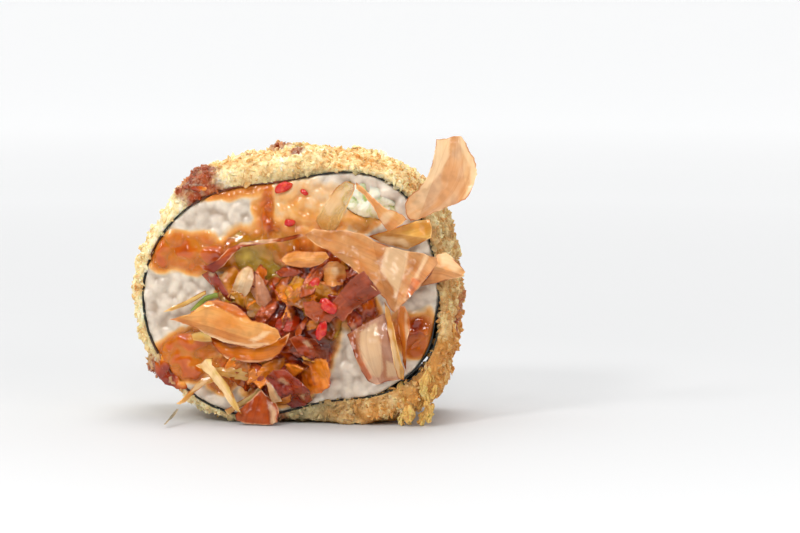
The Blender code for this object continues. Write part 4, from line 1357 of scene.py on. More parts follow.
    def lift_at(self, x: float, z: float) -> float:
        """y of the sauced surface at a place on the face."""
        i = int(np.clip((x - self.grid_x[0]) / self.pitch, 0, len(self.grid_x) - 1))
        j = int(np.clip((z - self.grid_z[0]) / self.pitch, 0, len(self.grid_z) - 1))
        out, _ = self.thickness(np.array([x]), np.array([z]))
        return float(min(self.levels[i, j], FACE) - out[0] + self.sink)


# Rice

@dataclass
class Rice:
    """Packed rice: a channelled core whose two cut faces are covered with grains, all melted together."""
    half_grain: tuple = (1.8, 1.25, 2.9)
    margin: float = 0.5
    apart: float = 2.6
    crowd: float = 1.3
    tilt: float = 0.2
    sunk: float = 0.95
    pitch: float = 0.5
    voxel: float = 0.34
    seed: int = 21

    def core(self) -> Piece:
        """The plain packed core with the fillings' channels."""
        angle = np.arange(120) * 3.0
        outline = list(zip(*(v.tolist() for v in polar(angle, packed_radius(angle)))))
        reach = DEPTH / 2 - 0.5
        core = prism("rice_core", outline, reach)
        for rule in (crescent, wedge, block):
            subtract(core, prism("channel", self.widened(rule()), reach + 2.0))
        return core

    def widened(self, outline: Outline) -> Outline:
        """An outline moved out a little."""
        middle = np.mean(outline, axis=0)
        ways = [np.array(p) - middle for p in outline]
        return [tuple(middle + way * (1.0 + 0.08 / np.hypot(*way))) for way in ways]

    def ground(self, y: float) -> Piece:
        """The part of a cut face that grains lie in, as a sheet of small squares."""
        x, z = np.meshgrid(np.arange(-34, 34, self.pitch), np.arange(0, 58, self.pitch), indexing="ij")
        angle, radius = on_roll(x, z)
        keep = radius < packed_radius(angle) - self.margin
        for rule, clear in ((crescent, 0.9), (wedge, 0.1), (block, 0.9)):
            keep &= outline_distance(x, z, rule()) > clear
        obj = new_object("rice_ground", xyz(x, y, z), grid_faces(keep))
        store(obj, cover=1.0)
        return obj

    def grain(self, name: str, bend: float) -> Piece:
        """One cooked grain, its long way up, slightly bent and blunt."""
        bm = bmesh.new()
        bmesh.ops.create_icosphere(bm, subdivisions=2, radius=1.0)
        wide, deep, high = self.half_grain
        for vert in bm.verts:
            x, y, z = vert.co
            blunt = 1.0 - 0.12 * z
            vert.co = Vector((x * wide * blunt + bend * z * z, y * deep * blunt, z * high)) * MM
        return from_bmesh(name, bm)

    def grains(self, y: float, seed: int) -> Piece:
        """Grains lying in one cut face, flattened where they meet the nori."""
        shapes = [self.grain(f"grain_{i}", bend) for i, bend in enumerate((-0.25, 0.0, 0.3))]
        spread = Scatter("grains", shapes, self.apart, self.crowd, (0.86, 1.12), (-self.tilt, 0.0, 0.0),
                         (self.tilt, math.tau, 0.0), seed)
        ground = self.ground(y)
        obj = spread.grow(ground)
        drop(ground)
        at = points_of(obj)
        angle, radius = on_roll(at[:, 0], at[:, 2])
        x, z = polar(angle, np.minimum(radius, packed_radius(angle) - 0.05))
        set_points(obj, xyz(x, at[:, 1], z))
        return obj

    def build(self) -> Piece:
        """Make and dress the rice."""
        core = self.core()
        core.name = "rice_pack"
        y = DEPTH / 2 - self.sunk
        join(core, [self.grains(-y, self.seed), self.grains(y, self.seed + 1)])
        fuse(core, self.voxel, 1)
        at = points_of(core)
        angle, radius = on_roll(at[:, 0], at[:, 2])
        # painted shade: 1 deeper into the cut face between the grains, fading out near the nori
        crevice = smoothstep((DEPTH / 2 - np.abs(at[:, 1]) + 0.1) / 0.75)
        crevice *= smoothstep((packed_radius(angle) - radius - 0.5) / 2.0)
        store(core, stain=sauce_stain(at), crevice=crevice)
        publish(core, RiceFinish().make(), "rice", "sushi_rice")
        return core


# Bonito shavings

def name_number(name: str) -> int:
    """The number that a shaving's name gives its chances."""
    return sum(map(ord, name))


@dataclass(frozen=True)
class Shaving:
    """A thin shaving along a smooth spine of (x, z, distance out of the cut face).

    roll turns it about its spine from end to end in degrees, cup bows it across, wave is
    (height, count) along it and pleats is (height, count, phase) across it. tear makes its edges
    ragged, soak says how much sauce it has drawn up and sheer how solid it looks.
    """
    name: str
    spine: tuple
    widths: tuple
    tone: Tone
    roll: tuple = (0, 0)
    cup: float = 0.5
    wave: tuple = (0.0, 1.0)
    pleats: tuple = (0.12, 1.2, 0.0)
    tear: float = 0.12
    soak: float = 0.1
    cells: tuple = (44, 18)
    thick: float = 0.11
    sheer: float = 0.7

    def surface(self) -> tuple[Array, Array, Array, Array]:
        """Points of the middle surface with their along, across and half width."""
        rows, cols = self.cells
        along, across = np.meshgrid(np.linspace(0, 1, rows), np.linspace(-1, 1, cols), indexing="ij")
        seed = float(name_number(self.name))
        ends = 0.05 * noise_at(xyz(across * 2.2, 0.0, seed), 1.0)
        t = np.clip(along + ends * np.abs(2 * along - 1) ** 3, 0.0, 1.0)
        at, ahead, behind = (self.line(np.clip(t + step, 0, 1)) for step in (0.0, 0.01, -0.01))
        run = ahead - behind
        run /= np.linalg.norm(run, axis=-1, keepdims=True)
        side = np.cross(run, [0.0, -1.0, 0.0])
        side /= np.linalg.norm(side, axis=-1, keepdims=True)
        roll = np.radians(self.roll[0] + (self.roll[1] - self.roll[0]) * t)[..., None]
        side = side * np.cos(roll) + np.cross(run, side) * np.sin(roll)
        rim = xyz(along * 4.5, np.where(across < 0, -2.7, 2.7), seed)
        fine = noise_at(rim * [4.0, 1.0, 1.0], 1.0, 3.0)
        ragged = 1.0 + self.tear * (2.0 * noise_at(rim, 1.0) + 0.9 * fine)
        half = ragged * spline(self.widths, t) / 2
        share = half / max(self.widths) * 2
        bow = self.cup * share * (1.0 - across ** 2)
        bow += self.wave[0] * np.sin(2 * np.pi * self.wave[1] * t)
        high, count, phase = self.pleats
        sway = 0.25 * noise_at(xyz(t * 3.0, 0.0, seed), 1.0, 6.0)
        bow += high * share * np.sin(2 * np.pi * (count * (across + sway) / 2 + phase))
        bow += 0.18 * share * noise_at(xyz(t * 5.0, across * 1.6, seed), 1.0)
        at = at + side * (across * half)[..., None] + np.cross(side, run) * bow[..., None]
        return at, along, across, half

    def line(self, t: Array) -> Array:
        """The spine as x, y, z."""
        x, z, lift = np.moveaxis(spline(self.spine, t), -1, 0)
        return xyz(x, FACE - lift, z)

    def build(self, name: str) -> Piece:
        """Make the shaving with the numbers that its finish reads."""
        at, along, across, half = self.surface()
        length = np.linalg.norm(np.diff(at[:, at.shape[1] // 2], axis=0), axis=1).sum()
        inward = np.minimum((1 - np.abs(across)) * half, np.minimum(along, 1 - along) * length)
        obj = solid_sheet(name, at, self.thick * (0.45 + 0.55 * smoothstep(inward / 0.8)))
        note_shaving(obj, self, (along * length).ravel(), (across * half).ravel(), inward.ravel(),
                     self.soak, 0.0)
        return obj


UNFOLDED = -9.0              # millimetres beyond a fold, where a shaving has none


def note_shaving(obj: Piece, shaving: "Shaving | Flake", along: Array, across: Array, edge: Array,
                 soak: Array | float, pale: Array | float, folds: Sequence[Array] = ()) -> None:
    """Keep what the finish of a shaving reads, the same on both of its sides.

    Args:
        obj: the shaving, its near points first and its far points after them.
        shaving: where its name and tone are.
        along: millimetres along it.
        across: millimetres across it.
        edge: millimetres in from its rim.
        soak: how much sauce it has drawn up, 0 to 1.
        pale: where a highlight is painted, 0 to 1.
        folds: millimetres beyond each fold; two are kept.
    """
    fold_a, fold_b = [*folds, UNFOLDED, UNFOLDED][:2]
    kept = {"along": along * MM, "across": across * MM, "edge": edge, "soak": soak, "pale": pale,
            "fold_a": fold_a, "fold_b": fold_b}
    store(obj, **{key: np.tile(values, 2) if np.ndim(values) else values for key, values in kept.items()})
    body, rim = shaving.tone.value
    store(obj, lot=name_number(shaving.name) % 17 * 0.01, tint=body, rim_tint=rim)


def spot_share(x: Array, z: Array, spots: Sequence, outlines: Sequence) -> Array:
    """1 in the middle of soft-edged spots and 0 away from them.

    Args:
        x: places across the face.
        z: their heights.
        spots: ovals as (x, z, half width, half height, turn in degrees).
        outlines: other shapes.
    """
    share = np.zeros(x.shape)
    sway = noise_at(xyz(x, z, 0.0), 0.55, 17.0)
    for spot in spots:
        share = np.maximum(share, smoothstep((1.6 - sum(oval(x, z, spot)) + 1.6 * sway) / 1.5))
    for outline in outlines:
        share = np.maximum(share, smoothstep(0.5 - outline_distance(x, z, outline) / 0.5))
    return share


# A point that stands out of the cut face looks this much further left and lower for each
# millimetre, seen from the front, so outlines given as seen are moved back by it.
PARALLAX = np.array((0.123, 0.103))


@dataclass(frozen=True)
class Flake:
    """A large shaving with its own outline, given as seen from the front.

    Its distance out of the cut face follows a spine of (x, z, distance). It tilts by slope to
    the left of the spine, bows by cup, and bends beyond each fold (x1, z1, x2, z2, slope) on the
    left of that line. pale and wet are ovals of painted highlight and of sauce, and outlines of the
    same two kinds are given as well; sheer says how solid it looks.
    """
    name: str
    outline: tuple
    spine: tuple
    tone: Tone
    slope: float = 0.0
    cup: float = 0.4
    folds: tuple = ()
    pale: tuple = ()
    painted_highlights: tuple = ()
    wet: tuple = ()
    stains: tuple = ()
    soak: float = 0.0
    tear: float = 0.5
    wrinkle: float = 0.22
    curl: float = 1.3
    pitch: float = 0.42
    thick: float = 0.1
    sheer: float = 0.7

    def rim(self) -> Outline:
        """The outline in short steps, slightly torn."""
        steps = []
        for (x1, z1), (x2, z2) in zip(self.outline, self.outline[1:] + self.outline[:1]):
            length = math.hypot(x2 - x1, z2 - z1)
            count = max(1, round(length / self.pitch))
            for k in range(count):
                x, z = x1 + (x2 - x1) * k / count, z1 + (z2 - z1) * k / count
                push = 0.22 * noise.noise((x * 0.7, z * 0.7, 3.0))
                push += 0.16 * noise.noise((x * 2.3, z * 2.3, 8.0))
                push *= self.tear
                steps.append((x + push * (z2 - z1) / length, z - push * (x2 - x1) / length))
        return steps

    def sheet(self) -> tuple[Array, list, Array]:
        """Places and triangles of the flat sheet, and how far each place is from its rim."""
        rim = self.rim()
        (left, low), (right, high) = np.min(rim, axis=0), np.max(rim, axis=0)
        across, up = np.arange(left, right, self.pitch), np.arange(low, high, self.pitch * 0.87)
        x, z = np.meshgrid(across, up, indexing="ij")
        x = x + np.where(np.arange(x.shape[1]) % 2, self.pitch / 2, 0.0)[None, :]
        x, z = x.ravel(), z.ravel()
        inner = np.stack([x, z], -1)[-outline_distance(x, z, rim) > self.pitch * 0.45]
        places = [Vector(p) for p in [*rim, *inner.tolist()]]
        flat, _, faces = geometry.delaunay_2d_cdt(places, [], [list(range(len(rim)))], 1, 1e-6)[:3]
        flat = np.array([tuple(p) for p in flat])
        return flat, [tuple(f) for f in faces], np.maximum(-outline_distance(*flat.T, rim), 0.0)

    def along_spine(self, flat: Array) -> tuple[Array, Array, Array]:
        """For each place: millimetres along the spine, millimetres to its left, and its lift."""
        line = spline(self.spine, np.linspace(0, 1, 60))
        seen = line[:, :2] - line[:, 2:] * PARALLAX
        run = np.diff(seen, axis=0)
        length = np.hypot(*run.T)
        offset = flat[:, None, :] - seen[None, :-1, :]
        u = np.clip((offset * run).sum(-1) / length ** 2, 0.0, 1.0)
        near = np.argmin(np.hypot(*np.moveaxis(offset - u[..., None] * run, -1, 0)), axis=1)
        row = np.arange(len(flat))
        u = u[row, near]
        left = (run[near, 0] * offset[row, near, 1] - run[near, 1] * offset[row, near, 0]) / length[near]
        start = np.concatenate([[0.0], np.cumsum(length)])
        lift = line[near, 2] * (1 - u) + line[near + 1, 2] * u
        return start[near] + u * length[near], left, lift

    def build(self, name: str) -> Piece:
        """Make the flake with the numbers that its finish reads."""
        flat, faces, edge = self.sheet()
        x, z = flat.T
        along, left, lift = self.along_spine(flat)
        half = max(np.abs(left).max(), 0.5)
        lift = lift + self.slope * left + self.cup * (1.0 - (left / half) ** 2)
        folds = []
        for x1, z1, x2, z2, slope in self.folds:
            beyond = ((x2 - x1) * (z - z1) - (z2 - z1) * (x - x1)) / math.hypot(x2 - x1, z2 - z1)
            lift += slope * np.maximum(beyond, 0.0)
            folds.append(beyond)
        ground = xyz(x, z, float(name_number(self.name)))
        lift += self.wrinkle * (noise_at(ground, 0.32) + 0.5 * noise_at(ground, 0.8, 2.0))
        lift += self.curl * noise_at(ground, 0.17, 13.0) * np.exp(-(edge / 1.3) ** 1.5)
        lift = np.clip(lift, 0.35, FACE - CAD_LOW.y / MM - 0.2)
        across, up = (flat + lift[:, None] * PARALLAX).T
        half_thick = self.thick / 2 * (0.4 + 0.6 * smoothstep(edge / 0.6))
        sides = np.concatenate([xyz(across, FACE - lift + side * half_thick, up) for side in (-1, 1)])
        count = len(flat)
        edges = dict.fromkeys((a, b) for face in faces for a, b in zip(face, face[1:] + face[:1]))
        shell = faces + [tuple(v + count for v in face[::-1]) for face in faces]
        shell += [(b, a, a + count, b + count) for a, b in edges if (b, a) not in edges]
        obj = new_object(name, np.clip(sides, np.array(CAD_LOW) / MM, np.array(CAD_HIGH) / MM), shell)
        obj.data.set_sharp_from_angle(angle=CREASE)
        # painted highlights: the flake's pale ovals and highlight outlines
        pale = spot_share(x, z, self.pale, self.painted_highlights)
        wet = np.maximum(self.soak, spot_share(x, z, self.wet, self.stains))
        note_shaving(obj, self, along, left, edge, wet, pale, folds)
        return obj


FLAKES = (
    Flake("tall_curl", ((25.6, 50.4), (27.5, 51.6), (29.3, 54.0), (30.5, 57.0), (31.2, 61.0), (31.4, 62.3),
        (34.0, 62.7), (35.2, 63.0), (36.6, 63.3), (37.6, 61.8), (38.4, 60.0), (39.6, 58.4), (40.0, 56.8),
        (40.1, 55.0), (39.4, 52.8), (38.6, 50.8), (37.6, 49.6), (35.2, 48.4), (32.5, 47.4), (30.0, 46.2),
        (27.4, 45.2), (25.8, 44.8), (25.0, 46.6), (24.8, 48.6)), ((25.5, 47.0, 1.8), (31.5, 50.5, 5.4),
        (35.4, 56.3, 8.0), (36.3, 63.3, 9.3)), Tone.SHELL, cup=-1.0, folds=((36.3, 63.5, 37.8, 50.0, -0.7),
        (34.3, 63.0, 29.4, 50.0, 0.3)), painted_highlights=(((31.0, 63.0), (34.4, 63.0), (34.2, 59.0), (32.4, 55.4),
        (29.4, 52.0), (26.6, 51.4), (29.3, 54.4)), ((36.8, 63.6), (40.4, 59.0), (40.6, 54.0), (38.6, 50.2),
        (36.6, 48.6), (38.6, 53.0), (38.6, 56.4), (37.2, 59.6), (36.3, 61.8))), tear=1.0, sheer=0.92),
    Flake("arch_left", ((5.2, 44.6), (6.4, 47.0), (8.0, 49.4), (9.8, 51.8), (11.0, 52.9), (12.2, 53.3),
        (13.8, 52.7), (13.9, 51.6), (13.3, 50.0), (12.2, 48.0), (11.4, 46.2), (10.6, 44.4), (9.6, 42.6),
        (8.4, 41.2), (6.6, 42.4)), ((7.0, 42.5, 5.0), (8.8, 47.0, 5.8), (11.2, 50.8, 6.8), (13.5, 52.5, 7.4)),
        Tone.STRAW, pale=((9.6, 49.2, 1.4, 4.0, -32),), tear=1.0, sheer=0.45),
    Flake("arch_right", ((14.1, 53.0), (15.8, 51.9), (17.4, 50.2), (18.8, 48.8), (20.4, 47.6), (22.2, 46.9),
        (24.0, 46.2), (25.2, 45.2), (23.8, 44.0), (22.2, 43.0), (21.0, 42.6), (20.0, 43.8), (18.9, 45.6),
        (17.6, 48.0), (16.3, 49.9), (15.0, 51.0), (14.1, 51.7)), ((15.6, 52.4, 7.2), (18.0, 50.4, 6.8),
        (20.8, 47.5, 5.8), (23.5, 45.0, 4.4)), Tone.PEACH, slope=0.25, pale=((20.4, 45.4, 1.0, 2.4, -40),),
        soak=0.05, tear=1.0),
    Flake("fan", ((3.0, 41.6), (5.0, 43.0), (8.0, 42.6), (12.0, 42.7), (15.5, 42.0), (18.0, 40.4),
        (21.5, 39.3), (25.0, 38.4), (28.6, 38.0), (30.0, 37.4), (31.7, 37.0), (32.0, 35.9), (30.0, 33.4),
        (27.4, 30.2), (25.0, 27.6), (23.4, 26.0), (22.3, 25.0), (21.4, 25.9), (20.4, 27.9), (18.4, 29.8),
        (16.0, 32.2), (13.0, 34.7), (10.2, 36.7), (7.8, 38.4), (5.4, 39.4)), ((3.0, 43.0, 1.8),
        (12.0, 41.0, 4.8), (21.0, 37.5, 7.4), (28.0, 32.0, 7.0)), Tone.BEIGE, cup=0.3,
        folds=((21.4, 25.0, 17.6, 40.8, 0.0), (22.4, 25.0, 25.2, 38.6, 0.25), (28.7, 38.2, 22.6, 26.4, 0.55),
        (10.0, 37.0, 22.0, 26.0, -0.5)), painted_highlights=(((20.6, 39.4), (19.4, 34.2), (22.2, 30.4), (22.6, 27.6),
        (25.0, 35.0), (25.6, 39.0)), ((29.4, 38.4), (30.2, 38.0), (24.9, 27.4), (24.4, 27.8))),
        stains=(((26.2, 32.6), (28.4, 32.2), (26.0, 28.4), (24.6, 27.8)),), sheer=0.8),
    Flake("tab", ((16.6, 41.6), (20.6, 42.7), (24.0, 43.9), (27.0, 44.9), (30.0, 45.3), (30.5, 43.6),
        (30.4, 41.4), (27.8, 40.0), (25.2, 38.8), (22.6, 39.3), (19.4, 40.2)), ((17.0, 42.0, 1.4),
        (23.0, 41.5, 2.2), (30.5, 43.5, 2.8)), Tone.AMBER, folds=((20.0, 42.4, 30.5, 41.0, -0.3),
        (30.5, 41.0, 20.0, 42.4, -0.4)), pale=((22.0, 40.6, 4.0, 0.9, -8),)),
    Flake("fin", ((27.6, 30.6), (30.2, 33.4), (31.8, 36.0), (31.4, 37.6), (33.6, 38.2), (36.0, 36.2),
        (37.8, 34.0), (37.2, 33.0), (34.2, 32.2), (31.0, 31.4)), ((26.5, 35.0, 1.8), (32.5, 35.5, 3.2),
        (38.0, 34.0, 3.6)), Tone.BEIGE, folds=((31.4, 35.0, 37.4, 33.2, -0.6),),
        pale=((34.2, 36.2, 3.0, 1.2, -35),), soak=0.1, sheer=0.8),
    Flake("scoop", ((12.0, 20.0), (14.4, 21.6), (17.0, 23.0), (19.6, 24.5), (20.4, 24.8), (20.6, 22.0),
        (21.2, 19.0), (22.6, 16.0), (23.6, 13.0), (24.0, 10.4), (21.4, 9.9), (18.4, 9.0), (16.6, 9.8),
        (15.2, 12.0), (13.8, 15.0), (12.8, 18.0)), ((17.5, 24.0, 2.6), (17.0, 19.5, 4.2), (18.0, 14.5, 4.2),
        (19.0, 10.0, 1.4)), Tone.PINK, cup=-0.8, folds=((19.2, 9.4, 13.4, 19.6, 0.5),
        (20.0, 25.0, 19.4, 10.0, 0.35)), painted_highlights=(((14.8, 20.4), (18.4, 22.8), (19.4, 18.0), (19.9, 12.6),
        (19.0, 10.6), (17.4, 11.0), (15.8, 14.0), (14.8, 17.0)), ((20.6, 14.4), (22.6, 13.6), (23.4, 11.0),
        (20.8, 10.8))), stains=(((12.0, 20.0), (13.6, 20.4), (15.0, 15.0), (17.4, 10.6), (16.4, 9.6),
        (15.0, 12.0), (12.6, 17.6)),), tear=0.4, sheer=0.6),
    Flake("ribbon", ((20.2, 27.4), (21.4, 25.6), (22.2, 22.0), (23.0, 18.0), (23.8, 14.6), (24.6, 12.2),
        (24.4, 10.2), (23.2, 10.6), (22.4, 13.0), (21.8, 16.4), (21.2, 20.0), (20.4, 24.0)),
        ((22.3, 27.5, 5.0), (22.9, 22.0, 5.6), (23.4, 16.5, 5.0), (23.9, 11.0, 2.4)), Tone.AMBER, slope=0.4,
        pale=((22.4, 16.0, 0.5, 6.0, 12),), pitch=0.34, tear=0.4),
    Flake("spike", ((23.4, 26.6), (24.6, 26.4), (25.6, 24.2), (25.9, 22.0), (25.3, 19.6), (25.0, 16.0),
        (24.9, 12.4), (24.2, 14.2), (24.0, 17.6), (23.4, 20.4), (23.0, 23.6)), ((25.4, 28.0, 3.6),
        (26.1, 21.5, 3.4), (26.2, 17.0, 2.6), (26.0, 12.0, 1.4)), Tone.ORANGE,
        pale=((25.2, 19.0, 0.4, 5.0, 3),), pitch=0.34, soak=0.05, tear=0.4),
    Flake("leaf", ((-27.4, 22.7), (-25.2, 23.2), (-22.6, 24.1), (-20.6, 25.6), (-18.6, 27.0), (-16.8, 27.2),
        (-14.6, 26.7), (-12.2, 25.9), (-10.6, 24.6), (-8.8, 22.8), (-5.8, 22.2), (-3.0, 20.8), (-2.4, 19.2),
        (-4.6, 17.6), (-8.0, 16.7), (-11.0, 17.1), (-14.0, 17.6), (-16.4, 18.4), (-18.8, 19.4), (-21.0, 20.6),
        (-23.4, 21.6), (-25.6, 22.2)), ((-27.0, 23.5, 2.4), (-18.5, 24.0, 3.4), (-11.0, 22.0, 4.4),
        (0.0, 20.0, 5.2)), Tone.PEACH, cup=0.6, folds=((-26.0, 22.4, -14.0, 27.4, -0.35),
        (-6.0, 17.8, -26.0, 23.4, -0.25), (-4.0, 24.0, -10.0, 16.0, 0.3)), painted_highlights=(((-9.6, 18.6),
        (-8.4, 18.0), (-6.0, 19.2), (-4.4, 20.6), (-6.4, 20.4), (-7.6, 19.4)), ((-20.6, 20.4), (-14.0, 18.2),
        (-10.0, 17.6), (-5.0, 18.0), (-5.0, 17.4), (-10.0, 16.9), (-16.0, 17.8), (-21.4, 20.3))),
        stains=(((-18.6, 27.2), (-12.0, 26.2), (-9.0, 23.2), (-12.4, 23.6), (-17.0, 26.0)),), tear=0.8,
        sheer=0.9),
    Flake("moon", ((-19.0, 19.0), (-17.0, 18.2), (-14.6, 17.4), (-11.0, 17.0), (-7.8, 16.8), (-4.6, 17.8),
        (-1.4, 19.6), (-0.4, 20.4), (-1.4, 17.6), (-2.8, 15.6), (-4.6, 14.2), (-7.0, 13.6), (-9.6, 13.4),
        (-12.6, 14.0), (-14.6, 14.2), (-16.4, 15.6), (-17.8, 17.4)), ((-17.5, 17.2, 1.6), (-11.0, 15.3, 2.8),
        (-5.0, 15.6, 3.8), (0.0, 18.0, 4.4)), Tone.ORANGE, folds=((-18.0, 16.6, -1.0, 17.4, -0.35),),
        wet=((-16.4, 17.2, 1.6, 1.0, -20), (-1.6, 18.4, 1.2, 1.8, -40)), painted_highlights=(((-17.0, 15.6),
        (-12.8, 14.0), (-7.0, 13.8), (-4.0, 14.8), (-4.6, 13.9), (-9.0, 13.0), (-15.0, 13.8)),), sheer=0.8),
    Flake("sliver", ((-28.8, 24.3), (-26.6, 25.6), (-23.6, 26.9), (-20.6, 28.6), (-19.2, 29.2), (-19.0, 28.4),
        (-21.6, 26.8), (-24.2, 25.5), (-27.0, 24.5)), ((-29.0, 24.0, 1.2), (-23.8, 26.4, 2.2),
        (-18.4, 28.9, 3.0)), Tone.YELLOW, cup=0.2, wrinkle=0.1, pitch=0.3, tear=0.3, sheer=0.8),
    Flake("blade", ((-21.6, 12.6), (-20.2, 13.2), (-19.4, 14.2), (-17.6, 14.4), (-17.9, 12.9), (-16.4, 11.4),
        (-14.6, 9.2), (-13.1, 6.6), (-12.0, 4.0), (-11.2, 2.2), (-12.8, 3.2), (-14.6, 5.6), (-16.6, 8.4),
        (-18.6, 10.6), (-20.2, 11.8)), ((-20.0, 14.5, 2.4), (-17.0, 11.5, 4.2), (-13.5, 7.5, 5.2),
        (-11.2, 2.8, 5.6)), Tone.YELLOW, cup=0.3, folds=((-18.4, 12.6, -11.4, 2.4, -0.9),),
        pale=((-18.6, 12.0, 2.0, 1.6, -40), (-15.4, 7.8, 0.8, 3.6, 30)), wet=((-13.6, 8.0, 0.6, 3.6, 28),),
        pitch=0.34, sheer=0.9),
    Flake("strip", ((-26.0, 4.0), (-24.2, 5.6), (-22.0, 8.0), (-20.0, 9.8), (-16.6, 10.4), (-16.2, 9.4),
        (-19.4, 8.4), (-21.6, 6.8), (-24.0, 4.4), (-25.2, 3.8)), ((-25.0, 4.5, 2.3), (-22.0, 7.5, 2.0),
        (-18.2, 9.3, 1.8), (-15.6, 10.5, 1.3)), Tone.AMBER, cup=0.2, pale=((-20.4, 8.6, 3.6, 0.5, 38),),
        pitch=0.34, soak=0.05, sheer=0.8),
    Flake("foot", ((-7.0, 7.6), (-5.8, 6.2), (-4.4, 5.2), (-3.6, 4.4), (-3.0, 2.6), (-3.4, 0.6), (-4.6, -0.1),
        (-6.8, -0.2), (-10.0, 0.0), (-12.4, 0.6), (-12.8, 1.8), (-12.0, 3.0), (-9.6, 5.0)), ((-6.5, 7.6, 1.6),
        (-7.0, 4.6, 2.8), (-7.8, 1.3, 3.6)), Tone.TERRACOTTA, cup=0.5, folds=((-5.0, -1.0, -6.0, 7.6, -0.5),
        (-4.4, -0.4, -5.0, 5.0, 0.5)), pale=((-4.5, 2.8, 0.7, 2.8, 8),), tear=0.9, sheer=0.85),
    Flake("twig", ((-15.2, 2.8), (-11.0, 5.4), (-7.6, 8.0), (-7.0, 7.2), (-9.6, 4.7), (-12.6, 2.9),
        (-14.4, 1.8)), ((-15.4, 1.8, 1.4), (-12.8, 4.0, 1.8), (-10.3, 5.8, 1.5)), Tone.STRAW, cup=0.2),
    Flake("brow", ((-20.6, 34.8), (-19.4, 33.6), (-17.4, 33.0), (-15.2, 34.6), (-13.0, 37.2), (-11.0, 38.8),
        (-6.0, 39.6), (-1.0, 40.3), (2.6, 41.4), (2.0, 41.9), (-2.0, 41.0), (-7.0, 40.4), (-11.4, 39.8),
        (-14.2, 38.4), (-16.4, 36.0), (-18.6, 34.8)), ((-19.5, 35.5, 2.8), (-13.0, 38.5, 3.0),
        (-6.0, 39.5, 2.8), (1.4, 42.2, 2.4)), Tone.MAHOGANY, cup=0.5,
        folds=((-20.0, 34.2, -13.0, 38.2, -0.8),), pale=((-9.0, 39.8, 5.0, 0.4, 6),),
        wet=((-17.0, 34.4, 4.0, 1.8, 30),), soak=0.2),
)
HAIR = Shaving("hair", ((-25.2, 3.2, 3.3), (-25.9, 2.0, 6.2), (-26.7, 0.9, 10.2)), (0.7, 0.9, 0.4), Tone.GREY,
               (40, 40), 0.0, soak=0.0)

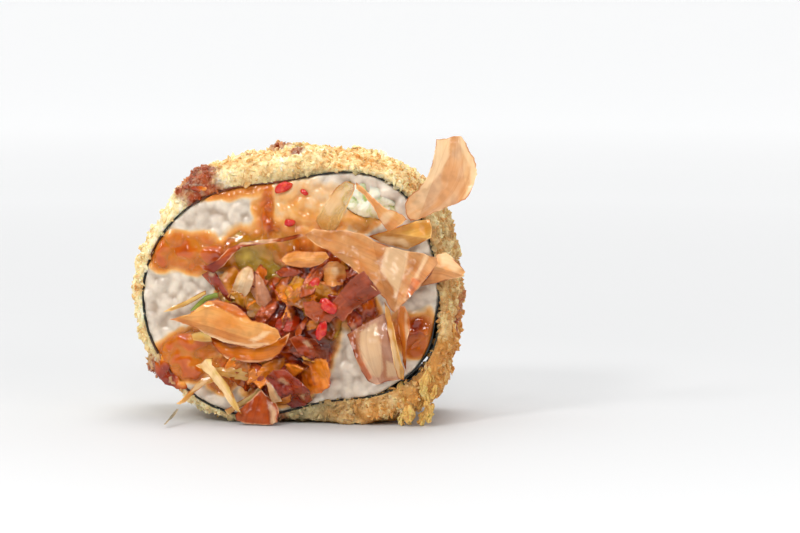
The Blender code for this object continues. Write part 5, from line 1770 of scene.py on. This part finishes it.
HEAP_FLAKES = (
    Flake("cap", ((-2.8, 36.0), (-1.4, 37.6), (1.0, 38.2), (4.4, 37.9), (7.4, 38.0), (8.2, 36.8), (6.4, 35.4),
        (4.0, 34.5), (1.0, 34.6), (-1.6, 35.0)), ((-2.0, 35.6, 2.0), (3.5, 36.6, 3.4), (9.5, 36.8, 2.9)),
        Tone.PEACH, cup=0.7, folds=((-2.0, 35.6, 8.0, 36.4, -0.5),), soak=0.12),
    Flake("shade", ((-4.0, 33.4), (-2.0, 34.6), (1.0, 34.5), (2.4, 33.4), (0.6, 32.6), (-2.6, 32.3)),
        ((-4.0, 33.0, 1.6), (-0.6, 33.4, 2.6), (2.6, 33.2, 2.0)), Tone.MAHOGANY, soak=0.5),
    Flake("shard", ((8.6, 26.8), (10.6, 29.2), (12.8, 32.2), (15.8, 34.0), (17.8, 31.4), (19.6, 29.2),
        (16.4, 27.4), (13.2, 25.2), (11.0, 22.8), (9.0, 24.6)), ((19.0, 31.3, 5.4), (14.0, 28.8, 4.5),
        (9.0, 23.6, 2.0)), Tone.MAHOGANY, folds=((9.0, 24.6, 17.6, 31.6, -0.5), (10.4, 29.2, 14.0, 25.0, 0.4),
        (8.6, 26.0, 16.4, 33.4, 0.6), (10.6, 23.6, 18.8, 30.0, 0.5)), soak=0.1, tear=1.0),
    Flake("disc", ((6.2, 32.4), (6.6, 34.4), (8.0, 35.8), (10.0, 36.0), (11.6, 34.8), (12.0, 32.8),
        (11.0, 31.0), (9.2, 30.4), (7.4, 30.8)), ((6.2, 33.0, 2.6), (9.2, 33.6, 3.9), (12.4, 33.4, 3.3)),
        Tone.PEACH, cup=-1.1, pale=((9.2, 33.8, 1.0, 0.8, 0),), wet=((7.0, 34.4, 0.8, 1.6, -30),
        (11.0, 32.0, 0.9, 1.6, -40)), wrinkle=0.5, soak=0.05, tear=1.0),
    Flake("amber", ((-0.8, 30.2), (2.0, 31.6), (5.4, 31.8), (8.2, 30.0), (9.0, 28.0), (6.8, 26.6),
        (3.6, 26.0), (0.6, 27.0)), ((-0.8, 29.0, 2.4), (4.0, 29.6, 3.2), (9.0, 29.0, 2.6)), Tone.GLASSY,
        cup=0.6, folds=((0.0, 26.4, 5.6, 32.0, -0.6), (8.8, 27.0, 1.6, 31.6, -0.6)), tear=0.8),
    Flake("rust", ((2.4, 27.0), (4.6, 27.4), (7.4, 26.2), (9.4, 24.0), (8.2, 22.6), (5.2, 22.8), (2.8, 24.4)),
        ((2.0, 25.4, 3.2), (5.8, 25.2, 4.0), (9.4, 23.6, 3.0)), Tone.TERRACOTTA,
        folds=((3.0, 24.0, 8.4, 26.0, 0.6),), soak=0.4, tear=0.9),
    Flake("pane", ((1.6, 13.6), (4.6, 14.8), (7.6, 14.6), (8.4, 11.6), (8.2, 8.6), (6.4, 7.0), (3.4, 6.6),
        (2.0, 9.6)), ((3.6, 15.4, 1.4), (6.0, 11.0, 2.6), (7.5, 6.8, 1.6)), Tone.ORANGE,
        folds=((4.2, 15.6, 5.0, 7.0, 0.3),), wet=((3.4, 9.4, 2.0, 2.6, 0),), soak=0.1, tear=1.2),
    Flake("knot", ((-0.6, 18.8), (1.8, 20.0), (4.8, 18.8), (7.0, 16.4), (6.4, 14.2), (3.6, 14.6),
        (1.2, 15.6)), ((-0.6, 17.8, 3.2), (3.4, 17.2, 4.0), (7.4, 15.2, 2.8)), Tone.MAHOGANY,
        folds=((-0.4, 16.8, 6.4, 17.4, 0.9), (2.6, 20.0, 4.4, 14.0, -0.7), (0.0, 20.0, 6.8, 15.4, -0.8)),
        painted_highlights=(((2.2, 18.4), (3.4, 18.6), (4.4, 17.0), (3.2, 17.4)),), wrinkle=0.7, soak=0.2, tear=1.1),
    Flake("dart", ((-20.2, 32.6), (-18.4, 33.6), (-16.8, 33.2), (-15.2, 30.6), (-13.8, 28.0), (-13.0, 25.8),
        (-15.6, 27.8), (-18.0, 30.2)), ((-19.6, 32.4, 1.6), (-15.9, 31.6, 3.3), (-11.6, 26.6, 1.2)), Tone.RED,
        folds=((-13.4, 25.6, -17.6, 33.4, -0.8),), pale=((-17.8, 32.8, 0.7, 0.6, 30),), soak=0.5),
    Flake("petal", ((-16.4, 31.6), (-15.0, 33.4), (-12.8, 34.8), (-11.6, 33.6), (-12.6, 31.2), (-13.6, 28.4),
        (-14.2, 27.6), (-15.2, 29.4)), ((-14.0, 27.2, 1.4), (-14.0, 30.6, 2.2), (-12.0, 34.4, 2.0)),
        Tone.GLASSY, pale=((-15.0, 32.4, 0.5, 1.0, -30),), soak=0.1),
    Flake("pale", ((-13.8, 27.6), (-13.0, 30.4), (-11.8, 33.4), (-9.8, 34.8), (-8.6, 34.0), (-8.4, 31.6),
        (-9.2, 29.2), (-10.6, 27.8), (-12.2, 27.2)), ((-8.2, 34.0, 2.8), (-9.9, 30.9, 4.0),
        (-11.9, 28.0, 1.4)), Tone.CREAM, folds=((-11.6, 27.2, -9.2, 34.4, 0.3),), tear=0.6),
    Flake("veil", ((-8.5, 33.8), (-6.8, 32.2), (-5.2, 29.6), (-4.4, 27.4), (-6.2, 25.6), (-8.6, 25.9),
        (-9.4, 28.6), (-8.9, 31.4)), ((-7.0, 34.2, 2.4), (-6.5, 30.1, 3.2), (-6.1, 25.8, 1.4)), Tone.PINK,
        folds=((-7.4, 25.8, -7.8, 33.6, -0.5),), soak=0.3, tear=0.6),
    Flake("low", ((-6.0, 10.2), (-4.2, 12.0), (-1.4, 12.2), (1.8, 9.8), (3.8, 7.6), (4.2, 5.2), (2.4, 3.8),
        (-0.4, 3.4), (-2.4, 5.4), (-4.4, 8.2)), ((-6.0, 11.5, 1.8), (-1.0, 8.9, 3.2), (4.6, 4.4, 1.8)),
        Tone.RED, folds=((-5.0, 12.4, 1.6, 4.0, 0.8), (3.4, 9.0, -3.0, 6.0, -1.0),
        (-2.0, 13.0, 4.6, 6.4, -0.9), (-6.0, 8.6, 2.0, 9.4, 0.7)), painted_highlights=(((-3.4, 9.8), (-2.2, 10.4),
        (-0.6, 9.0), (-1.6, 8.8)), ((1.6, 6.4), (2.6, 6.8), (2.4, 5.2))), wrinkle=0.9, soak=0.3, tear=1.0),
    Flake("tri", ((-5.8, 9.0), (-4.6, 9.4), (-2.4, 5.0), (-4.6, 4.6)), ((-5.4, 9.4, 2.2), (-3.8, 7.0, 3.0),
        (-2.6, 4.8, 2.4)), Tone.CREAM, soak=0.1, tear=0.4),
    Flake("under", ((-18.4, 12.0), (-14.6, 12.4), (-11.0, 12.6), (-9.0, 11.4), (-7.8, 9.6), (-10.6, 9.4),
        (-13.6, 9.8), (-16.4, 10.6)), ((-17.6, 12.0, 1.4), (-13.5, 11.7, 2.2), (-7.5, 10.4, 1.4)), Tone.STRAW,
        soak=0.1, tear=1.0),
    Flake("bar", ((-10.2, 13.2), (-8.2, 13.6), (-6.2, 12.6), (-6.4, 9.8), (-8.2, 8.8), (-9.0, 10.8)),
        ((-9.6, 13.6, 1.8), (-7.5, 11.6, 2.8), (-6.8, 9.2, 2.2)), Tone.MAHOGANY, soak=0.2),
    Flake("chip", ((-22.6, 19.6), (-19.6, 20.4), (-18.4, 19.6), (-17.8, 17.8), (-20.0, 17.8), (-22.2, 18.2)),
        ((-22.6, 19.0, 1.5), (-20.2, 19.0, 1.8), (-18.0, 18.8, 1.6)), Tone.YELLOW, wrinkle=0.1),
    Flake("pool_edge", ((11.6, 25.4), (13.6, 25.6), (15.4, 24.0), (15.2, 21.2), (13.4, 20.2), (12.0, 22.2)),
        ((12.4, 24.9, 1.6), (13.6, 23.0, 2.2), (14.6, 20.8, 1.4)), Tone.RED,
        pale=((13.4, 21.8, 0.8, 0.8, 0),), soak=0.8, tear=1.0),
)

SHRED = Flake("green_shred", ((-22.8, 24.6), (-21.4, 26.2), (-19.6, 27.9), (-17.2, 28.7), (-15.4, 28.5),
    (-15.0, 27.6), (-17.4, 27.5), (-19.4, 26.7), (-21.2, 24.9)), ((-24.0, 25.4, 0.9), (-20.8, 27.0, 1.1),
    (-17.4, 28.1, 0.9)), Tone.GREEN, cup=0.1, wrinkle=0.08, pitch=0.34, thick=0.35, tear=0.3)


@dataclass
class Bonito:
    """The large shavings, each standing for its own solid."""
    made: dict = field(default_factory=dict)

    def finish_for(self, sheer: float) -> Material:
        """The material of a clearness, made once."""
        if sheer not in self.made:
            self.made[sheer] = BonitoFinish(f"bonito_{round(sheer * 100)}", sheer).make()
        return self.made[sheer]

    def build(self) -> None:
        """Make and dress the large shavings and the green shred."""
        solid = BonitoFinish("bonito").make()
        for shaving in (*FLAKES, HAIR):
            obj = shaving.build(f"shaving_{shaving.name}")
            publish(obj, self.finish_for(shaving.sheer), "bonito", f"bonito_{shaving.name}")
        publish(SHRED.build("shred"), solid, "green_shred", "green_shred")


def merged(parts: list[Piece], name: str) -> Piece:
    """Several objects as one."""
    parts[0].name = name
    join(parts[0], parts[1:])
    parts[0].data.set_sharp_from_angle(angle=CREASE)
    return parts[0]


@dataclass
class Topping:
    """The sauced heap: small crumpled shavings and chilli on the bed of glaze."""
    sauce: Sauce
    material: Material
    count: int = 30
    tries: int = 1500
    seed: int = 15
    # Parts of the heap: middle x, z, half width, half height
    lobes: tuple = ((2.0, 23.0, 9.5, 14.0), (-8.0, 12.6, 8.0, 4.6), (-10.5, 30.0, 5.6, 4.6),
                    (10.0, 31.0, 8.0, 5.0))
    tones: tuple = (Tone.RED, Tone.TERRACOTTA, Tone.ORANGE, Tone.GLASSY)
    weights: tuple = (30, 30, 26, 14)
    # Chilli: x, z, how far out, half length, half width, turn
    chillies: tuple = ((-2.0, 52.0, 0.5, 2.0, 1.1, 25), (-0.6, 44.3, 0.3, 1.2, 0.8, 0),
                       (5.2, 31.2, 3.4, 1.6, 1.0, 50), (8.4, 26.6, 4.6, 2.2, 1.3, -30),
                       (6.8, 21.2, 3.8, 2.2, 1.2, 70), (2.6, 51.0, 0.3, 0.9, 0.6, -30))

    def crumple(self, i: int, draw: random.Random, room: BVHTree) -> Flake | None:
        """One small torn shaving somewhere on the heap, or nothing where a large one is in the way."""
        lobe = self.lobes[0] if draw.random() < 0.62 else draw.choice(self.lobes[1:])
        turn, reach = draw.uniform(0, math.tau), 0.95 * math.sqrt(draw.random())
        x = lobe[0] + lobe[2] * reach * math.cos(turn)
        z = lobe[1] + lobe[3] * reach * math.sin(turn)
        lift = FACE - self.sauce.lift_at(x, z) + draw.uniform(-0.2, 0.8)
        if room.find_nearest(Vector((x, FACE - lift, z)), 1.6)[0] is not None:
            return None
        heading, long, wide = draw.uniform(0, math.tau), draw.uniform(1.4, 3.6), draw.uniform(0.3, 0.65)
        outline = torn_outline(draw, x, z, long, wide, heading)
        rise = (draw.uniform(-0.9, 0.5), draw.uniform(0.0, 0.6), draw.uniform(-0.9, 1.0))
        spine = tuple((x + k * long * math.cos(heading) + (lift + up) * PARALLAX[0],
                       z + k * long * math.sin(heading) + (lift + up) * PARALLAX[1], lift + up)
                      for k, up in zip((-1, 0, 1), rise))
        folds = tuple(self.fold(x, z, long, draw) for _ in range(2))
        tone = draw.choices(self.tones, self.weights)[0]
        return Flake(f"crumple_{i}", tuple(outline), spine, tone, slope=draw.uniform(-0.5, 0.5),
                     cup=draw.uniform(-0.5, 0.5), folds=folds, soak=draw.uniform(0.3, 0.8), tear=1.4,
                     wrinkle=draw.uniform(0.4, 1.0), curl=2.0, pitch=0.34, thick=0.14)

    def fold(self, x: float, z: float, long: float, draw: random.Random) -> tuple:
        """A fold line somewhere across a small shaving."""
        turn, slope = draw.uniform(0, math.tau), draw.uniform(0.5, 1.3) * draw.choice((-1, 1))
        x, z = x + draw.uniform(-0.4, 0.4) * long, z + draw.uniform(-0.4, 0.4) * long
        return (x, z, x + math.cos(turn), z + math.sin(turn), slope)

    def heap(self) -> None:
        """The small shavings as one piece."""
        draw = random.Random(self.seed)
        room = tree_of([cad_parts[f"bonito_{flake.name}"] for flake in FLAKES])
        made = [replace(flake, wrinkle=flake.wrinkle + 0.3).build("heap_part") for flake in HEAP_FLAKES]
        for i in range(1, self.tries + 1):
            small = self.crumple(i, draw, room) if len(made) < self.count else None
            if small:
                made.append(small.build("heap_part"))
        publish(merged(made, "sauced_heap"), self.material, "sauced_topping", "topping_heap")

    def chilli(self) -> None:
        """Chilli pieces as one piece, each a bent uneven chip of skin."""
        bm = bmesh.new()
        for x, z, lift, long, wide, turn in self.chillies:
            y = min(self.sauce.lift_at(x, z) - 0.35, FACE - lift)
            made = bmesh.ops.create_icosphere(bm, subdivisions=3, radius=1.0)["verts"]
            for vert in made:
                lump = 1.0 + 0.3 * noise.noise(vert.co * 1.6 + Vector((x, 0, z)))
                along, deep, up = vert.co
                vert.co = Vector((along * long, deep * 0.55 + 0.25 * along ** 2, up * wide)) * lump
            matrix = Matrix.Translation((x, y, z)) @ Matrix.Rotation(math.radians(-turn), 4, "Y")
            bmesh.ops.transform(bm, matrix=matrix, verts=made)
        bmesh.ops.scale(bm, vec=(MM, MM, MM), verts=bm.verts)
        obj = from_bmesh("chilli_bits", bm)
        obj.data.shade_smooth()
        publish(obj, ChilliFinish().make(), "sauced_topping")

    def build(self) -> None:
        """Make and dress the topping."""
        self.heap()
        self.chilli()


@dataclass
class CrustTrim:
    """What clings to the crust: smooth glaze that has run over it and shards torn from its edge."""
    glaze: Material
    # Glaze lumps: x, y, z, half sizes along each
    lumps: tuple = (
        (-29.2, -12.6, 11.8, 2.1, 0.7, 3.2), (-27.4, -12.7, 9.4, 2.4, 0.7, 1.9),
        (-30.4, -11.6, 13.8, 1.3, 1.2, 2.0), (-25.2, -12.8, 8.0, 2.1, 0.6, 1.2),
        (-20.6, -12.9, 51.6, 2.4, 0.5, 0.8),
    )
    plump: float = 0.85
    voxel: float = 0.24
    # Shards: middle x, z, spread of each, count
    torn: tuple = (28.0, 6.0, 4.2, 5.6, 22)
    seed: int = 31

    def drips(self) -> None:
        """Glaze lumps melted together where they touch."""
        bm = bmesh.new()
        for x, y, z, wide, deep, high in self.lumps:
            for vert in bmesh.ops.create_icosphere(bm, subdivisions=4, radius=1.0)["verts"]:
                lump = self.plump * (1.0 + 0.3 * noise.noise(vert.co * 2.2 + Vector((x, y, z))))
                across, out, up = vert.co
                vert.co = Vector((x + across * wide * lump, y + out * deep * lump, z + up * high * lump)) * MM
        obj = from_bmesh("crust_glaze", bm)
        fuse(obj, self.voxel, 2)
        depth = 0.32 + 0.5 * noise_at(points_of(obj), 0.35, 2.0)
        store(obj, depth=depth, film=1.0, crumple=0.6, green=0.0, shown=0.0)
        publish(obj, self.glaze, "crust")

    def shards(self) -> None:
        """Upright ragged shards of crumb where the crust's lower corner is torn."""
        draw = random.Random(self.seed)
        middle_x, middle_z, wide, high, count = self.torn
        made = []
        for i in range(count):
            x, z = middle_x + draw.uniform(-wide, wide), middle_z + draw.uniform(-high, high)
            angle, radius = on_roll(x, z)
            if radius < nori_radius(angle) + 0.8:
                continue
            half, lean, lift = draw.uniform(1.2, 2.6), draw.uniform(-0.7, 0.7), draw.uniform(-0.9, 1.0)
            rise = (0.0, draw.uniform(0.2, 0.9), draw.uniform(-0.5, 0.3))
            spine = tuple((x + k * lean, max(z + k * half, 0.3), lift + up)
                          for k, up in zip((-1, 0, 1), rise))
            widths = (draw.uniform(0.4, 1.4), draw.uniform(1.2, 2.4), 0.8)
            roll = (draw.uniform(-40, 40), draw.uniform(-40, 40))
            shard = Shaving(f"shard_{i}", spine, widths, Tone.YELLOW, roll, 0.3, (0.3, 1.7),
                            (0.3, 2.0, draw.random()), tear=0.4, cells=(22, 10), thick=0.4)
            made.append(shard.build("torn_shards"))
        torn = merged(made, "torn_shards")
        store(torn, toast=0.42, grey=0.0, glaze=0.0, tone=0.5)
        publish(torn, PankoFinish("torn_crumb", gold=srgb(244, 204, 120)).make(), "crust")

    def build(self) -> None:
        """Make and dress both."""
        self.drips()
        self.shards()


# Studio

@dataclass
class Studio:
    """Pale floor, soft lights and the camera."""
    target: tuple = (23.6, -13.0, 35.0)
    yaw: float = 7.0
    elevation: float = 6.0
    distance: float = 600.0
    lens: float = 124.2
    floor_half: float = 40000.0
    # Lights: name, place, size, power
    lights: tuple = (
        ("key", (-300.0, -430.0, 420.0), 115.0, 1.5),
        ("window", (130.0, -520.0, 380.0), 110.0, 0.5),
        ("glint_left", (-190.0, -560.0, 210.0), 60.0, 0.18),
        ("glint_high", (-40.0, -430.0, 520.0), 60.0, 0.18),
        ("glint_right", (360.0, -430.0, 330.0), 60.0, 0.18),
        ("top", (60.0, 60.0, 620.0), 240.0, 1.0),
        ("side", (430.0, -300.0, 260.0), 110.0, 0.35),
    )
    sky: tuple = (0.98, 0.99, 1.0)
    sky_front: float = 0.12
    sky_back: float = 0.78
    sun_strength: float = 1.1
    sun_angle: float = 70.0
    sun_from: tuple = (-0.25, -0.1, 1.0)

    def camera(self) -> None:
        """The photograph's viewpoint."""
        yaw, up = math.radians(self.yaw), math.radians(self.elevation)
        back = Vector((math.sin(yaw) * math.cos(up), -math.cos(yaw) * math.cos(up), math.sin(up)))
        data = bpy.data.cameras.new("camera")
        data.lens = self.lens
        data.sensor_width = 36.0
        data.clip_start, data.clip_end = 0.01, 200.0
        camera = placed("camera", data)
        camera.location = (Vector(self.target) + back * self.distance) * MM
        camera.rotation_euler = (-back).to_track_quat("-Z", "Y").to_euler()
        bpy.context.scene.camera = camera

    def lamps(self) -> None:
        """Soft square lights aimed at the slice."""
        aim = Vector((0.0, 0.0, 30.0)) * MM
        for name, place, size, power in self.lights:
            data = bpy.data.lights.new(name, "AREA")
            data.size = size * MM
            data.energy = power
            lamp = placed(name, data)
            lamp.location = Vector(place) * MM
            lamp.rotation_euler = (aim - lamp.location).to_track_quat("-Z", "Y").to_euler()
        data = bpy.data.lights.new("ceiling", "SUN")
        data.energy = self.sun_strength
        data.angle = math.radians(self.sun_angle)
        placed("ceiling", data).rotation_euler = Vector(self.sun_from).to_track_quat("Z", "Y").to_euler()

    def world(self) -> None:
        """White to the eye; as light it is dimmer from the front, so that wet things keep their colour."""
        world = bpy.data.worlds.new("studio")
        world.use_nodes = True
        sky = NodeWriter(world.node_tree)
        way = sky.node("ShaderNodeTexCoord").outputs["Generated"]
        way = sky.node("ShaderNodeSeparateXYZ", {0: way}).outputs["Y"]
        values = {"Value": way, "From Min": -0.7, "From Max": 0.3, "To Min": self.sky_front,
                  "To Max": self.sky_back}
        glow = sky.tree.nodes["Background"]
        sky.feed(glow.inputs["Color"], self.sky)
        sky.feed(glow.inputs["Strength"], sky.node("ShaderNodeMapRange", values).outputs[0])
        seen = sky.node("ShaderNodeBackground", {"Color": srgb(247, 247, 247)})
        ray = sky.node("ShaderNodeLightPath").outputs["Is Camera Ray"]
        both = sky.node("ShaderNodeMixShader", {0: ray, 1: glow.outputs[0], 2: seen.outputs[0]})
        sky.feed(sky.tree.nodes["World Output"].inputs["Surface"], both.outputs[0])
        bpy.context.scene.world = world

    def floor(self) -> None:
        """A wide pale floor, painted darker near the slice (painted shade) and glowing faintly further out
        (painted light).
        """
        half = self.floor_half
        corners = [(-half, -half, -0.02), (half, -half, -0.02), (half, half, -0.02), (-half, half, -0.02)]
        floor = new_object("floor", corners, [(0, 1, 2, 3)])
        shade = Shade("floor")
        reach = shade.node("ShaderNodeVectorMath", {0: shade.place}, operation="LENGTH").outputs["Value"]
        # painted shade: the floor is darker near the slice
        grey = shade.span(reach, 0.05, 1.2, 0.62, 0.98)
        white = shade.node("ShaderNodeCombineColor", {0: grey, 1: grey, 2: grey}).outputs[0]
        # painted light: the floor glows faintly further out
        shade.surface(Base_Color=white, Roughness=0.7, Emission_Color=(1.0, 1.0, 1.0),
                      Emission_Strength=shade.span(reach, 0.15, 0.6, 0.0, 0.12))
        floor.data.materials.append(shade.material)

    def build(self) -> None:
        """Set up the studio."""
        bpy.context.scene.view_settings.view_transform = "Standard"
        self.camera()
        self.lamps()
        self.world()
        self.floor()


def fillings() -> list[Filling]:
    """The three fillings that run through the roll."""
    avocado = FleshFinish("avocado", srgb(222, 216, 120), srgb(184, 186, 66), srgb(130, 150, 40), 3.4, 0.3)
    cucumber = FleshFinish("cucumber", srgb(244, 243, 222), srgb(156, 186, 48), srgb(84, 96, 30), 2.4, 0.14)
    tuna = FleshFinish("tuna", srgb(206, 158, 128), srgb(164, 108, 82), srgb(186, 130, 102), 1.4, 0.45,
                       srgb(170, 92, 30))
    return [
        Filling("avocado_crescent", "avocado", crescent, 0.25, 0.25, 0.5, avocado, peel_share, 4.5),
        Filling("cucumber_wedge", "cucumber", wedge, 0.4, 0.75, 0.42, cucumber, skin_share, 2.2),
        Filling("tuna_block", "tuna", block, 0.45, 0.6, 0.55, tuna, streak_share, 3.0),
    ]


def main() -> None:
    """Build the slice piece by piece."""
    logging.basicConfig(level=logging.INFO, format="%(message)s")
    Studio().build()
    Crust().build()
    Nori().build()
    cut = [filling.build() for filling in fillings()]
    rice = Rice().build()
    sauce = Sauce()
    sauce.build(tree_of([rice, *cut]))
    Bonito().build()
    Topping(sauce, BonitoFinish("sauced_bonito", 0.85, 0.05, 0.75, 0.5, glint=0.1).make()).build()
    CrustTrim(sauce.material).build()


if __name__ == "__main__":
    main()
